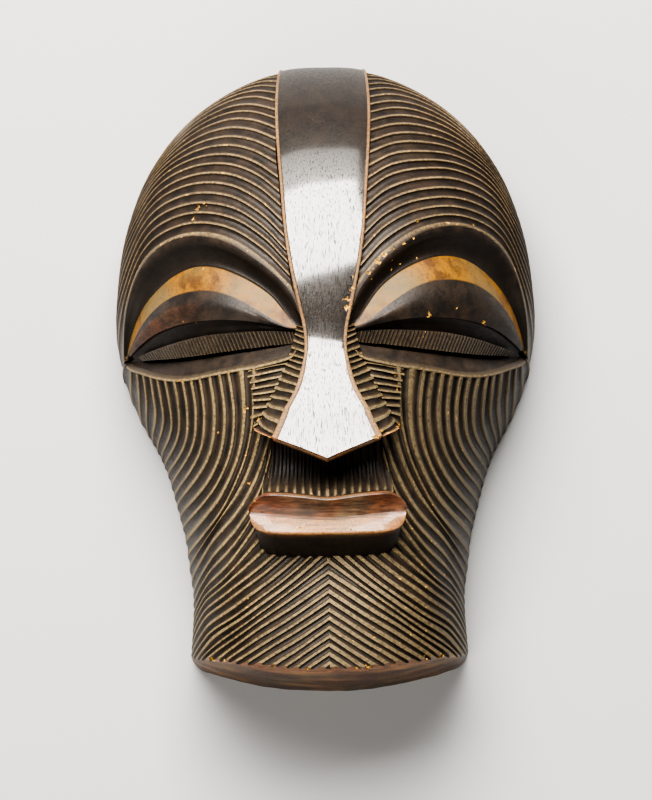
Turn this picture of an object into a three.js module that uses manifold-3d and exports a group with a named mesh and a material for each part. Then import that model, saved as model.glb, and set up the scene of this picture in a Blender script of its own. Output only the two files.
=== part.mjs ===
import * as THREE from "three";
import Module from "manifold-3d";

// All lengths are millimetres. The mask lies face up on its flat back rim: +Z leaves the face,
// +Y points to the crown and -Y to the chin.
// A point on the mask is (a, b, h): a runs across and b up, both measured over the curved
// surface, and h stands off that surface along its normal.

// Half outline of the back rim, from the crown down past the chin
const RIM = [
  [0, 180], [26, 178.5], [53, 168], [79, 149], [100, 122], [113, 90], [119, 55], [119.5, 24],
  [109, -11], [92, -45], [81.5, -82], [76.5, -115], [76, -132], [77, -150], [78.5, -168],
  [79, -190], [76, -225], [66, -262], [36, -300], [0, -312],
];
const HUB_Y = 10;
const DOME_POWER = 2.35;
// Height of the midline of the face, before the nose and the mouth are added
const CREST_Y = [-200, -140, -100, -60, -20, 20, 60, 110, 180];
const CREST_Z = [126, 121, 117, 118, 124, 131, 134, 134, 134];

// Thickness of the wood at the rim, at the front and at the chin end
const WALL_RIM = 9;
const WALL_FRONT = 16;
const CHIN_WALL = 11;
// Chin end: its foot on the midline, how far it leans out at the given height, how far its sides
// bow back at the given half width, and the rounding of its corners
const CHIN_Y = -173;
const CHIN_LEAN = 2.5;
const CHIN_LEAN_HEIGHT = 107;
const CHIN_BOW = 13.5;
const CHIN_BOW_HALF_WIDTH = 76;
const CHIN_CORNER_X = 77.5;
const CHIN_CORNER_RADIUS = 8;

const GROOVE_DEPTH = 1.3;
const SMALL_GROOVE = 0.9;
const LIP_GROOVE = 1.1;
// The inner body lies this far under the surface, and the carved layers over it reach SKIN deep
const CORE_DROP = 4.6;
const SKIN = 8;
const THICK_SKIN = 13;
// Layers that end at the rim run this much past it before they are cut off flat
const PAST_RIM = 1.03;
const FOOT_DROP = 12;
const FACET_TOLERANCE = 0.13;
// Rings and spokes of the inner body and of the hollow
const CORE_MESH = [10, 48];
const CORE_REACH = 0.999;
const HOLLOW_MESH = [7, 30];

// Cubic through the listed values, with finite-difference slopes
function curve(xs, ys, x) {
  const last = xs.length - 1;
  const t = Math.min(Math.max(x, xs[0]), xs[last]);
  let i = 0;
  while (i < last - 1 && t > xs[i + 1]) i += 1;
  const slope = (k) => {
    const lo = Math.max(k - 1, 0);
    const hi = Math.min(k + 1, last);
    return (ys[hi] - ys[lo]) / (xs[hi] - xs[lo]);
  };
  const span = xs[i + 1] - xs[i];
  const u = (t - xs[i]) / span;
  const a = (1 + 2 * u) * (1 - u) * (1 - u) * ys[i] + u * u * (3 - 2 * u) * ys[i + 1];
  return a + span * (u * (1 - u) * (1 - u) * slope(i) - u * u * (1 - u) * slope(i + 1));
}

const RIM_POLAR = RIM.map(([x, y]) => [Math.atan2(y - HUB_Y, x), Math.hypot(x, y - HUB_Y)])
  .sort((p, q) => p[0] - q[0]);
const RIM_ANGLE = RIM_POLAR.map((p) => p[0]);
const RIM_RADIUS = RIM_POLAR.map((p) => p[1]);

const rimRadius = (angle) =>
  curve(RIM_ANGLE, RIM_RADIUS, Math.atan2(Math.sin(angle), Math.abs(Math.cos(angle))));
const crest = (y) => curve(CREST_Y, CREST_Z, y);
const dome = (rho) => Math.pow(Math.max(1 - Math.pow(Math.min(rho, 1), DOME_POWER), 0), 1 / DOME_POWER);

// Point of the smooth face under (a, b); past the rim it goes straight down
function base(a, b) {
  const angle = Math.atan2(b - HUB_Y, a);
  const r = rimRadius(angle);
  const q = Math.hypot(a, b - HUB_Y) / (r * Math.PI / 2);
  const rho = Math.sin(Math.min(q, 1) * Math.PI / 2);
  const x = rho * r * Math.cos(angle);
  const y = HUB_Y + rho * r * Math.sin(angle);
  const z = q > 1 ? -(q - 1) * r * Math.PI / 2 : crest(y) * dome(rho);
  return new THREE.Vector3(x, y, z);
}

function point([a, b, h]) {
  const step = 0.4;
  const snap = 1e-6;
  const across = base(a + step, b).sub(base(a - step, b));
  const up = base(a, b + step).sub(base(a, b - step));
  const p = base(a, b).addScaledVector(across.cross(up).normalize(), h);
  if (Math.abs(p.x) < snap) p.x = 0;
  return p;
}

// The same direction from the hub, carried just past the rim
function toRim([a, b, h]) {
  const k = PAST_RIM * rimRadius(Math.atan2(b - HUB_Y, a)) * Math.PI / 2 / Math.hypot(a, b - HUB_Y);
  return [a * k, HUB_Y + (b - HUB_Y) * k, h];
}

const wasm = await Module();
wasm.setup();

function closedSolid(vertices, triangles) {
  let volume = 0;
  for (const [i, j, k] of triangles) {
    volume += vertices[i].dot(new THREE.Vector3().crossVectors(vertices[j], vertices[k]));
  }
  const wound = volume < 0 ? triangles.map(([i, j, k]) => [i, k, j]) : triangles;
  return new wasm.Manifold(new wasm.Mesh({
    numProp: 3,
    vertProperties: new Float32Array(vertices.flatMap((v) => [v.x, v.y, v.z])),
    triVerts: new Uint32Array(wound.flat()),
  }));
}

// Closed block between two grids of points with the same rows and columns
function block(top, bottom) {
  const rows = top.length;
  const cols = top[0].length;
  const vertices = [...top.flat(), ...bottom.flat()];
  const half = rows * cols;
  const at = (i, j) => i * cols + j;
  const triangles = [];
  const quad = (p, q, r, s) => triangles.push([p, q, r], [p, r, s]);
  for (let i = 0; i + 1 < rows; i += 1) {
    for (let j = 0; j + 1 < cols; j += 1) {
      quad(at(i, j), at(i, j + 1), at(i + 1, j + 1), at(i + 1, j));
      quad(half + at(i, j), half + at(i + 1, j), half + at(i + 1, j + 1), half + at(i, j + 1));
    }
  }
  const side = (p, q) => quad(p, half + p, half + q, q);
  for (let j = 0; j + 1 < cols; j += 1) {
    side(at(0, j), at(0, j + 1));
    side(at(rows - 1, j + 1), at(rows - 1, j));
  }
  for (let i = 0; i + 1 < rows; i += 1) {
    side(at(i + 1, 0), at(i, 0));
    side(at(i, cols - 1), at(i + 1, cols - 1));
  }
  return closedSolid(vertices, triangles);
}

const mirrorRow = (row) => row.map(([a, b, h]) => [-a, b, h]);
const mirror = (grid) => grid.map(mirrorRow);
const placed = (grid) => grid.map((row) => row.map(point));
const sunk = (grid, depth) => grid.map((row) => row.map(([a, b]) => [a, b, -depth]));
const slab = (grid, depth = SKIN) => block(placed(grid), placed(sunk(grid, depth)));
const bothSides = (grid, depth) => [slab(grid, depth), slab(mirror(grid), depth)];
const bothBlocks = (top, bottom) => [
  block(placed(top), placed(bottom)),
  block(placed(mirror(top)), placed(mirror(bottom))),
];

// Smooth line through listed points, read at a share t of its length
function along(points, t) {
  const full = points.map(([a, b, h = 0]) => [a, b, h]);
  const reached = [0];
  full.slice(1).forEach((p, i) => {
    reached.push(reached[i] + Math.hypot(...p.map((v, c) => v - full[i][c])));
  });
  const x = t * reached[reached.length - 1];
  return [0, 1, 2].map((c) => curve(reached, full.map((p) => p[c]), x));
}

// Rows of ridges and valleys carried across a family of guide lines.
// counts[i] is the number of ridges between guide i and guide i + 1.
function grooved(guides, counts, stations, depth) {
  const shares = Array.from({ length: stations }, (_, k) => k / (stations - 1));
  const lines = guides.map((g) => shares.map((t) => along(g, t)));
  const u = [];
  counts.forEach((n, i) => {
    for (let k = 0; k < 2 * n; k += 1) u.push(i + k / (2 * n));
  });
  u.push(counts.length);
  const index = guides.map((_, i) => i);
  return u.map((x, row) => shares.map((_, k) => {
    const [a, b, h] = [0, 1, 2].map((c) => curve(index, lines.map((line) => line[k][c]), x));
    return [a, b, h - (row % 2 ? depth : 0)];
  }));
}

// Forehead: guide lines from the band, over the brow and down to the rim
const FOREHEAD = [
  [[20, 270], [46, 268], [70, 262], [96, 250]],
  [[31, 246], [46, 252], [62, 252], [79, 246], [96, 236], [112, 222]],
  [[31, 222], [47, 231], [67, 232], [88, 224], [110, 208], [130, 190]],
  [[31, 199], [47, 210], [68, 213], [92, 206], [117, 188], [140, 166]],
  [[31, 178], [48, 190], [68, 194], [94, 188], [122, 170], [148, 145]],
  [[30, 157], [48, 169], [66, 174], [92, 171], [122, 156], [150, 130]],
  [[28, 138], [46, 150], [64, 156], [90, 156], [120, 146], [152, 118]],
  [[28, 120], [44, 131], [62, 138], [88, 141], [118, 136], [142, 122], [156, 104]],
  [[26, 100], [42, 113], [60, 121], [86, 127], [114, 126], [140, 112], [160, 86]],
  [[24, 81], [38, 94.5], [58, 105.5], [86, 113], [116, 112], [142, 96], [163, 66]],
  [[22, 62.5], [36, 77], [56, 89.7], [86, 98.5], [117, 97], [145, 77], [166, 44]],
  [[20, 46], [34, 61.5], [54, 75], [84, 84], [117, 81.5], [148, 56], [168, 24]],
  [[18, 29.5], [34, 47], [58, 64], [88, 71.5], [119, 66], [141, 43], [155, 16], [172, 4]],
  [[9, 8], [22, 24], [38, 40], [60, 54], [88, 62], [112, 54], [130, 34], [150, 9], [172, 1]],
];
const FOREHEAD_RIDGES = [2, 2, 2, 2, 2, 2, 2, 2, 2, 2, 2, 2, 0];
const FOREHEAD_STATIONS = 11;

// Lower face: guide lines from the eye, the nose, the mouth and the middle of the chin,
// outward and down to the rim
const CHEEK = [
  [[149, 6], [157, 5.5], [163, 5], [170, 4.5], [178, 4]],
  [[136, 0], [138, -11], [143, -21], [153, -30], [166, -38]],
  [[117, -7], [118, -22], [121, -35], [133, -47], [152, -58]],
  [[94, -11], [93, -33], [98, -52], [114, -66], [140, -78]],
  [[72, -12], [71, -40], [77, -62], [97, -83], [131, -105]],
  [[53, -11], [51, -41], [57, -66], [76, -94], [124, -132]],
  [[39, -13], [42, -46], [50, -71], [70, -103], [118, -150]],
  [[32, -45], [40, -68], [53, -91], [76, -117], [114, -164]],
  [[31, -60], [38, -82], [52, -104], [77, -133], [112, -180]],
  [[33, -95], [46, -113], [61, -132], [84, -158], [112, -200]],
  [[22, -110], [38, -125], [60, -145], [84, -171], [110, -212]],
];
const CHIN = [
  [[0, -112], [20, -131], [48, -155], [77, -183], [107, -222]],
  [[0, -124], [22, -141], [48, -163], [77, -192], [111, -240]],
  [[0, -135], [20, -150], [44, -168], [70, -194], [100, -236]],
  [[0, -147], [19, -161], [39, -176], [62, -196], [87, -227]],
  [[0, -159], [16, -171], [32, -183], [47, -196], [62, -211]],
  [[0, -171], [12, -180], [23, -189], [34, -198], [45, -208]],
  [[0, -183], [8, -189], [16, -196], [24, -203], [32, -210]],
  [[0, -199], [6, -203], [12, -208], [18, -213], [24, -218]],
];
const CHEEK_RIDGES = [2, 2, 3, 3, 3, 2, 1, 2, 2, 3];
const CHIN_RIDGES = [2, 2, 2, 2, 2, 2, 2];
const CHEEK_TO_CHIN_RIDGES = 4;
const LOWER_FACE_RIDGES = [...CHEEK_RIDGES, CHEEK_TO_CHIN_RIDGES, ...CHIN_RIDGES];
const LOWER_FACE_STATIONS = 8;

// Forehead band and top of the nose: distance up the face, half width, height over the face
const BAND = [
  [290, 33, 1.2], [262, 33, 1.2], [235, 32.5, 1.2], [208, 31.5, 1.2], [180, 30.5, 1.2],
  [150, 29.3, 1.2], [118, 27, 1.2], [90, 24.5, 1.2], [63, 22.2, 1.2], [46, 20, 1.2],
  [30, 17, 1.3], [16, 14, 1.6], [7, 12, 2.2], [-3, 11, 4], [-15, 12, 8.5], [-25, 14.3, 13],
  [-36, 18.7, 17.5],
];
const NOSE_TIP = [0, -64, 25];
const NOSE_CORNER = [23.7, -52, 22];
// Half section of the band's edge ridge: distance in from the edge, and lift over the band
const BAND_EDGE = [[0, 0], [0.4, 0.5], [1.8, 0.5], [2.3, 0]];
const BAND_CROWN = 0.4;
const NOSE_UNDERCUT = 9;

// Side of the nose at stations down its length: the line where the grooved strip meets the cheek
// or the triangle, the edge under the top of the nose, and the foot of the triangle
const NOSE_STRIP = [
  [15, 8, 0.5], [16.5, 2, -1], [19.5, -7, -2], [22.5, -13.5, -0.5], [26.5, -24.5, 3.5],
  [31, -35.5, 7], [36, -45, 9.5],
];
const NOSE_EDGE = [
  [12.5, 9, 2], [11.2, 2, 3], [11.2, -7, 5.5], [12, -15, 8.5], [14.3, -25, 13],
  [18.5, -36, 17.5], [23.2, -50, 21.5],
];
const NOSE_FOOT = [
  [18, 8, -4], [20, 2, -4], [27, -8, -3], [43, -14.5, -0.5], [41.5, -23.5, 1],
  [39.8, -32.5, 3.5], [37.3, -43.5, 8],
];
const NOSE_STRIP_RIDGES = [2, 2, 2, 2, 3, 3];
// The grooved triangle beside the nostril starts at this station
const TRIANGLE_FROM = 3;
const TRIANGLE_RIDGES = [3, 3, 3];
// Smooth wood under the grooved faces: its drop, its reach under the band, and its set-in edge
const NOSE_BASE_DROP = 2.4;
const NOSE_UNDER_BAND = 3;
const NOSE_SET_IN = 0.8;
const NOSE_BACK = 3;
// The grooved faces lap over each other, reach this deep and lean back below
const NOSE_LAP = 0.6;
const NOSE_FACE_DEPTH = 7;
const NOSE_FACE_LEAN = 0.1;

// Eye, in columns across: place of each line of the carving
const EYE_A = [12.5, 17, 22, 30, 40, 52, 66, 82, 98, 114, 130, 143, 153];
const EYE_BROW = [9.5, 23, 31, 40, 49, 58, 65, 69.5, 70, 65.5, 54, 33, 12];
const EYE_CRESCENT_TOP = [8, 8.5, 15.5, 26, 34.5, 42, 48.5, 52, 51, 46.5, 38, 24, 10.2];
const EYE_CRESCENT_LOW = [6.8, 7, 8.6, 13.5, 20.5, 28, 33.5, 36, 35.5, 31, 23, 14.5, 8.9];
const EYE_LID_EDGE = [5.6, 5.6, 6.8, 8.8, 11, 12.8, 14.2, 15, 14.7, 13.5, 11, 9, 7.6];
const EYE_LASH_TOP = [5, 4.6, 5, 5.4, 5.5, 5.6, 5.8, 5.7, 5, 4.6, 4.6, 5.2, 6.2];
const EYE_SLIT_TOP = [4, -0.8, -1.6, -2.4, -3.3, -4.2, -4.8, -5, -4.7, -3.4, -0.8, 2.4, 5.2];
const EYE_SLIT_LOW = [3.2, -1.8, -2.9, -4, -5.3, -6.5, -7.3, -7.6, -7.1, -5.4, -2.3, 1.5, 4.6];
const EYE_LOWER_EDGE = [2.5, -7, -9.8, -11.6, -13.3, -14.4, -15.7, -17, -15.9, -12.2, -6.7, -2, 3.3];
// Share of the full depth reached in each column
const EYE_DEPTH = [0.15, 0.4, 0.6, 0.8, 0.95, 1, 1, 1, 1, 0.95, 0.8, 0.5, 0.15];
// Section of the eye from the brow down. Each row lies between two of the lines above, at the
// given share of the way, and drops by a fixed depth and by a depth that EYE_DEPTH scales.
const EYE_SECTION = [
  [EYE_BROW, EYE_BROW, 0, 1.2, 0],
  [EYE_BROW, EYE_CRESCENT_TOP, 0.16, 1.2, 4],
  [EYE_BROW, EYE_CRESCENT_TOP, 0.5, 1, 8.2],
  [EYE_BROW, EYE_CRESCENT_TOP, 0.88, 1, 8.5],
  [EYE_CRESCENT_TOP, EYE_CRESCENT_TOP, 0, 1, 6.8],
  [EYE_CRESCENT_LOW, EYE_CRESCENT_LOW, 0, 1.5, 2.9],
  [EYE_CRESCENT_LOW, EYE_LID_EDGE, 0.5, 1.5, 1.1],
  [EYE_LID_EDGE, EYE_LID_EDGE, 0, 1.6, 2.2],
  [EYE_LID_EDGE, EYE_LASH_TOP, 0.15, 1.6, 6.4],
  [EYE_LASH_TOP, EYE_LASH_TOP, 0, 1.6, 8.5],
  [EYE_SLIT_TOP, EYE_SLIT_TOP, 0, 1.6, 9],
  [EYE_SLIT_LOW, EYE_SLIT_LOW, 0, 1.6, 7.5],
  [EYE_SLIT_LOW, EYE_LOWER_EDGE, 0.55, 1.4, 2.4],
  [EYE_LOWER_EDGE, EYE_LOWER_EDGE, 0, 1, 0],
];
const EYE_CUT_LIFT = 7;
// Full wood that the eye is cut from: columns, its set-in at brow and lower edge, and its height
const EYE_BLANK_A = [14, 22, 40, 66, 90, 114, 132, 148];
const EYE_BLANK_ROWS = 4;
const EYE_BLANK_SET_IN = [2.5, 1.5];
const EYE_BLANK_HEIGHT = 2;
// Upright lash ridges between the lid and the slit
const LASH_A = [18, 34, 54, 74, 94, 114, 138];
const LASH_RIDGES = [3, 4, 4, 4, 4, 4];
const LASH_DROP = 1.4;
const LASH_DEPTH = 4.6;
const LASH_SLOPE = 1.2;
const SLIT_A = [18, 30, 46, 64, 82, 98, 114, 128, 139];
const SLIT_END_GAP = 0.25;
const SLIT_TOP = 2;
const SLIT_REACH = 40;

function eyeCutter() {
  const rows = EYE_A.map((a, i) => EYE_SECTION.map(([from, to, share, drop, depth]) => (
    [a, from[i] + (to[i] - from[i]) * share, -drop - depth * EYE_DEPTH[i]]
  )));
  return bothBlocks(sunk(rows, -EYE_CUT_LIFT), rows);
}

function eyeBlank() {
  const [fromBrow, fromEdge] = EYE_BLANK_SET_IN;
  const rows = EYE_BLANK_A.map((a) => {
    const top = curve(EYE_A, EYE_BROW, a) - fromBrow;
    const low = curve(EYE_A, EYE_LOWER_EDGE, a) + fromEdge;
    const at = (k) => top + (low - top) * k / (EYE_BLANK_ROWS - 1);
    return Array.from({ length: EYE_BLANK_ROWS }, (_, k) => [a, at(k), EYE_BLANK_HEIGHT]);
  });
  return bothSides(rows, THICK_SKIN);
}

function slitCutter() {
  const rows = SLIT_A.map((a, i) => {
    const end = i === 0 || i === SLIT_A.length - 1;
    const gap = end ? SLIT_END_GAP : 0;
    const top = curve(EYE_A, EYE_SLIT_TOP, a) - gap;
    const low = curve(EYE_A, EYE_SLIT_LOW, a) + gap;
    return [[a, top, SLIT_TOP], [a, low, SLIT_TOP]];
  });
  return bothBlocks(rows, sunk(rows, SLIT_REACH));
}

function lashes() {
  const line = (a) => {
    const k = curve(EYE_A, EYE_DEPTH, a);
    const height = -LASH_DROP - LASH_DEPTH * k;
    const low = curve(EYE_A, EYE_SLIT_TOP, a);
    return [[a, curve(EYE_A, EYE_LASH_TOP, a), height], [a, low, height - LASH_SLOPE * k]];
  };
  return bothSides(grooved(LASH_A.map(line), LASH_RIDGES, 2, SMALL_GROOVE), THICK_SKIN);
}

// One row across the band; place gives the point for a distance from the midline and a lift
function bandRow(halfWidth, crown, place) {
  const half = BAND_EDGE.map(([inward, lift]) => [halfWidth - inward, lift]);
  const left = half.map(([a, lift]) => [-a, lift]);
  return [...left, [0, crown], ...half.reverse()].map(([a, lift]) => place(a, lift));
}

function bandSolid() {
  const [cornerA, cornerB, cornerH] = NOSE_CORNER;
  const rows = BAND.map(([b, w, h]) => bandRow(w, BAND_CROWN, (a, lift) => [a, b, h + lift]));
  const tip = bandRow(cornerA, 0, (a, lift) => {
    const k = 1 - Math.abs(a) / cornerA;
    return [a, cornerB + (NOSE_TIP[1] - cornerB) * k, cornerH + (NOSE_TIP[2] - cornerH) * k + lift];
  });
  const bottom = sunk([...rows, tip], SKIN);
  const undercut = tip.map(([a, b]) => [a, b + NOSE_UNDERCUT, -SKIN]);
  return block(placed([...rows, tip]), placed([...bottom.slice(0, -1), undercut]));
}

function noseSides() {
  const shifted = ([a, b, h], by, drop = 0) => [a + by, b, h - drop];
  const wood = NOSE_EDGE.map((edge, i) => [
    shifted(edge, -NOSE_UNDER_BAND, NOSE_BASE_DROP),
    shifted(edge, -NOSE_SET_IN, NOSE_BASE_DROP),
    shifted(NOSE_STRIP[i], -NOSE_SET_IN, NOSE_BASE_DROP),
    shifted(NOSE_FOOT[i], -NOSE_SET_IN, NOSE_BASE_DROP),
  ]);
  const lastRow = wood[wood.length - 1].map(([a, b]) => [a, b + NOSE_BACK, -SKIN]);
  const woodBottom = [...sunk(wood, SKIN).slice(0, -1), lastRow];
  const strip = NOSE_EDGE.map((edge, i) => [shifted(edge, -NOSE_LAP / 2), shifted(NOSE_STRIP[i], NOSE_LAP)]);
  const triangle = NOSE_STRIP.slice(TRIANGLE_FROM)
    .map((p, i) => [shifted(p, -NOSE_LAP), NOSE_FOOT[i + TRIANGLE_FROM]]);
  const under = (grid) => grid.map((row) => row.map(([a, b, h]) => (
    [a, b + NOSE_FACE_LEAN * (h + NOSE_FACE_DEPTH), -NOSE_FACE_DEPTH]
  )));
  const stripTop = grooved(strip, NOSE_STRIP_RIDGES, 2, SMALL_GROOVE);
  const triangleTop = grooved(triangle, TRIANGLE_RIDGES, 2, SMALL_GROOVE);
  return [
    ...bothBlocks(wood, woodBottom),
    ...bothBlocks(stripTop, under(stripTop)),
    ...bothBlocks(triangleTop, under(triangleTop)),
  ];
}

// Mouth block: columns across with the top edge, the valley between the lips and the bottom edge
const MOUTH = [
  [35.8, -93, -96, -99.5], [35, -90.8, -96, -103], [33, -87.6, -95.8, -105.6],
  [29.5, -84.6, -95.5, -107.2], [24, -83.8, -95.4, -107.9], [16, -84.4, -96.3, -108],
  [8, -85.5, -97, -108], [3, -86.2, -97.2, -108], [0, -86.4, -97.2, -108],
];
// Height of the top edge, the valley and the bottom edge, and their drop towards the ends
const MOUTH_HEIGHT = [21.5, 15.5, 20];
const MOUTH_END_DROP = [2, -2.5, 1.5];
const MOUTH_ROUND_FROM = 29;
const MOUTH_ROUND_WIDTH = 7;
// The foot of the block is wider than its face and shifted up at the top and down at the bottom
const MOUTH_SPREAD = 1.17;
const MOUTH_FOOT = [2, 0, -12];

function mouth() {
  const column = ([a, ...lines]) => {
    const end = Math.max(0, (a - MOUTH_ROUND_FROM) / MOUTH_ROUND_WIDTH);
    return lines.map((b, j) => [a, b, MOUTH_HEIGHT[j] - MOUTH_END_DROP[j] * end]);
  };
  const half = MOUTH.map(column);
  const top = [...half, ...mirror(half.slice(0, -1)).reverse()];
  const bottom = top.map((row) => row.map(([a, b], j) => [a * MOUTH_SPREAD, b + MOUTH_FOOT[j], -SKIN]));
  return block(placed(top), placed(bottom));
}

// Upper lip: upright ridges from under the nose that sweep up onto the top edge of the mouth.
// Rows hold half width, distance up, height on the midline and the drop from there to the sides.
const LIP_A = [-1, -0.75, -0.5, -0.25, 0, 0.25, 0.5, 0.75, 1];
const LIP_ROWS = [[34, -40, -0.5, 0], [34, -58, -0.5, 0], [34.5, -69, 1, 1.5], [34.5, -76.5, 6, 3.5]];
const LIP_EDGE = [32, -1, 20, 8];
const LIP_RIDGES = [2, 2, 2, 2, 2, 2, 2, 2];
const LIP_STATIONS = 5;

function upperLip() {
  const mouthA = MOUTH.map((m) => m[0]).reverse();
  const mouthTop = MOUTH.map((m) => m[1]).reverse();
  const guides = LIP_A.map((k) => {
    const [w, over, h, drop] = LIP_EDGE;
    const edge = curve(mouthA, mouthTop, Math.abs(w * k)) + over;
    return [...LIP_ROWS, [w, edge, h, drop]].map((row) => [row[0] * k, row[1], row[2] - row[3] * k ** 4]);
  });
  return slab(grooved(guides, LIP_RIDGES, LIP_STATIONS, LIP_GROOVE));
}

// Everything beyond the chin end, or beyond the face that lies inset behind it
const CHIN_CUT_X = [0, 14, 28, 42, 56, 65, 69.5, 72.5, 74.8, 76.3, 77.2, 77.5, 84, 100];
const CHIN_CUT_Y = -400;
const CHIN_CUT_Z = [-20, 170];

function chinCutter(inset) {
  const r = CHIN_CORNER_RADIUS;
  const corner = (x) => {
    const into = Math.min(Math.max(Math.abs(x) - (CHIN_CORNER_X - r), 0), r);
    return r - Math.sqrt(r * r - into * into);
  };
  const yAt = (x, z) => CHIN_Y + inset - CHIN_LEAN * z / CHIN_LEAN_HEIGHT
    + CHIN_BOW * (x / CHIN_BOW_HALF_WIDTH) ** 2 + corner(x);
  const across = [...CHIN_CUT_X.slice(1).map((x) => -x).reverse(), ...CHIN_CUT_X];
  const [low, high] = CHIN_CUT_Z.map((z) => across.map((x) => [
    new THREE.Vector3(x, yAt(x, z), z),
    new THREE.Vector3(x, CHIN_CUT_Y, z),
  ]));
  return block(high, low);
}

// Closed dome of rings and spokes about the hub, carried straight down below z = 0;
// place gives the point for a share of the way out and an angle
function domeSolid([rings, spokes], place) {
  const vertices = [place(0, 0)];
  const triangles = [];
  for (let i = 1; i <= rings; i += 1) {
    for (let k = 0; k < spokes; k += 1) vertices.push(place(i / rings, 2 * Math.PI * k / spokes));
  }
  const at = (i, k) => 1 + (i - 1) * spokes + (k % spokes);
  for (let k = 0; k < spokes; k += 1) {
    triangles.push([0, at(1, k), at(1, k + 1)]);
    for (let i = 1; i < rings; i += 1) {
      triangles.push([at(i, k), at(i + 1, k), at(i + 1, k + 1)]);
      triangles.push([at(i, k), at(i + 1, k + 1), at(i, k + 1)]);
    }
  }
  const foot = vertices.length;
  for (let k = 0; k < spokes; k += 1) {
    const edge = vertices[at(rings, k)];
    vertices.push(new THREE.Vector3(edge.x, edge.y, -FOOT_DROP));
  }
  const middle = vertices.length;
  vertices.push(new THREE.Vector3(0, HUB_Y, -FOOT_DROP));
  for (let k = 0; k < spokes; k += 1) {
    const next = (k + 1) % spokes;
    triangles.push([at(rings, k), foot + k, foot + next], [at(rings, k), foot + next, at(rings, k + 1)]);
    triangles.push([foot + k, middle, foot + next]);
  }
  return closedSolid(vertices, triangles);
}

function core() {
  return domeSolid(CORE_MESH, (t, angle) => {
    const reach = t * rimRadius(angle) * Math.PI / 2 * CORE_REACH;
    return point([reach * Math.cos(angle), HUB_Y + reach * Math.sin(angle), -CORE_DROP]);
  });
}

function hollow() {
  const inside = domeSolid(HOLLOW_MESH, (t, angle) => {
    const r = rimRadius(angle) - WALL_RIM;
    const rho = Math.sin(t * Math.PI / 2);
    const x = rho * r * Math.cos(angle);
    const y = HUB_Y + rho * r * Math.sin(angle);
    return new THREE.Vector3(x, y, (crest(y) - WALL_FRONT) * dome(rho));
  });
  return inside.subtract(chinCutter(CHIN_WALL));
}

// Box under the plane that the rim rests on
const UNDER_HALF_SIZE = 450;

function under() {
  const square = (z) => [-1, 1].map((i) => [-1, 1].map((j) => (
    new THREE.Vector3(i * UNDER_HALF_SIZE, j * UNDER_HALF_SIZE, z)
  )));
  return block(square(0), square(-UNDER_HALF_SIZE));
}

function build() {
  const rimmed = (guides) => guides.map((g) => [...g.slice(0, -1), toRim([...g[g.length - 1], 0])]);
  const forehead = grooved(rimmed(FOREHEAD), FOREHEAD_RIDGES, FOREHEAD_STATIONS, GROOVE_DEPTH);
  const lowerGuides = [...rimmed([...CHEEK, CHIN[0]]), ...CHIN.slice(1)];
  const lower = grooved(lowerGuides, LOWER_FACE_RIDGES, LOWER_FACE_STATIONS, GROOVE_DEPTH);
  let body = core();
  for (const part of [...bothSides(forehead), ...bothSides(lower), ...eyeBlank()]) body = body.add(part);
  for (const cut of eyeCutter()) body = body.subtract(cut);
  for (const part of [...lashes(), ...noseSides(), bandSolid(), upperLip(), mouth()]) {
    body = body.add(part);
  }
  for (const cut of [hollow(), chinCutter(0), ...slitCutter(), under()]) body = body.subtract(cut);
  return body.asOriginal().simplify(FACET_TOLERANCE);
}

function toGeometry(solid) {
  const mesh = solid.getMesh();
  const g = new THREE.BufferGeometry();
  const positions = new Float32Array(mesh.numVert * 3);
  for (let i = 0; i < mesh.numVert; i += 1) {
    for (let c = 0; c < 3; c += 1) positions[3 * i + c] = mesh.vertProperties[i * mesh.numProp + c];
  }
  g.setAttribute("position", new THREE.BufferAttribute(positions, 3));
  g.setIndex(new THREE.BufferAttribute(new Uint32Array(mesh.triVerts), 1));
  g.computeBoundingBox();
  const middle = g.boundingBox.getCenter(new THREE.Vector3());
  g.translate(-middle.x, -middle.y, -g.boundingBox.min.z);
  g.computeVertexNormals();
  return g;
}

const mask = new THREE.Mesh(
  toGeometry(build()),
  new THREE.MeshStandardMaterial({ color: 0x2b1c14, roughness: 0.42, metalness: 0 }),
);
mask.name = "mask";

const object = new THREE.Group();
object.name = "kifwebe_mask";
object.add(mask);

export default object;
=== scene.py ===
import math

import bpy
import numpy as np
from mathutils import Matrix, Vector
from mathutils.bvhtree import BVHTree
from mathutils.kdtree import KDTree


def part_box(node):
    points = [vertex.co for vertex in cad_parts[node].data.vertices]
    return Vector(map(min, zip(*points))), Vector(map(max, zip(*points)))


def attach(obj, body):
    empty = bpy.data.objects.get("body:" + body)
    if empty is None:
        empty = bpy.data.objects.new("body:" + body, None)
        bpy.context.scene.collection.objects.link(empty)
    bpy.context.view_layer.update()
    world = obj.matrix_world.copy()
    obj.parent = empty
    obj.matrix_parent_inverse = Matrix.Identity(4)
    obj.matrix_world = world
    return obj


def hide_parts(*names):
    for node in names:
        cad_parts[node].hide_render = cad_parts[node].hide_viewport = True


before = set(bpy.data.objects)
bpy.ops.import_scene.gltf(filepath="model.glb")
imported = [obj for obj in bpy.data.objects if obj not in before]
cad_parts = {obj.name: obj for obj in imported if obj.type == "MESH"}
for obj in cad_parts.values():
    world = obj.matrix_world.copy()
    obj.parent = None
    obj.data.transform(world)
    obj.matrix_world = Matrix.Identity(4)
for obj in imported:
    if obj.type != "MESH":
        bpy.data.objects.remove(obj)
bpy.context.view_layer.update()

# Lengths in the tables are millimetres. The mask lies face up on its flat back rim: +Z leaves the
# face and +Y points to the crown. A point on it is (a, b, h): a runs across and b up, both measured
# over the curved surface, and h stands off it along its normal.
MM = 0.001
QUARTER = math.pi / 2

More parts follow.
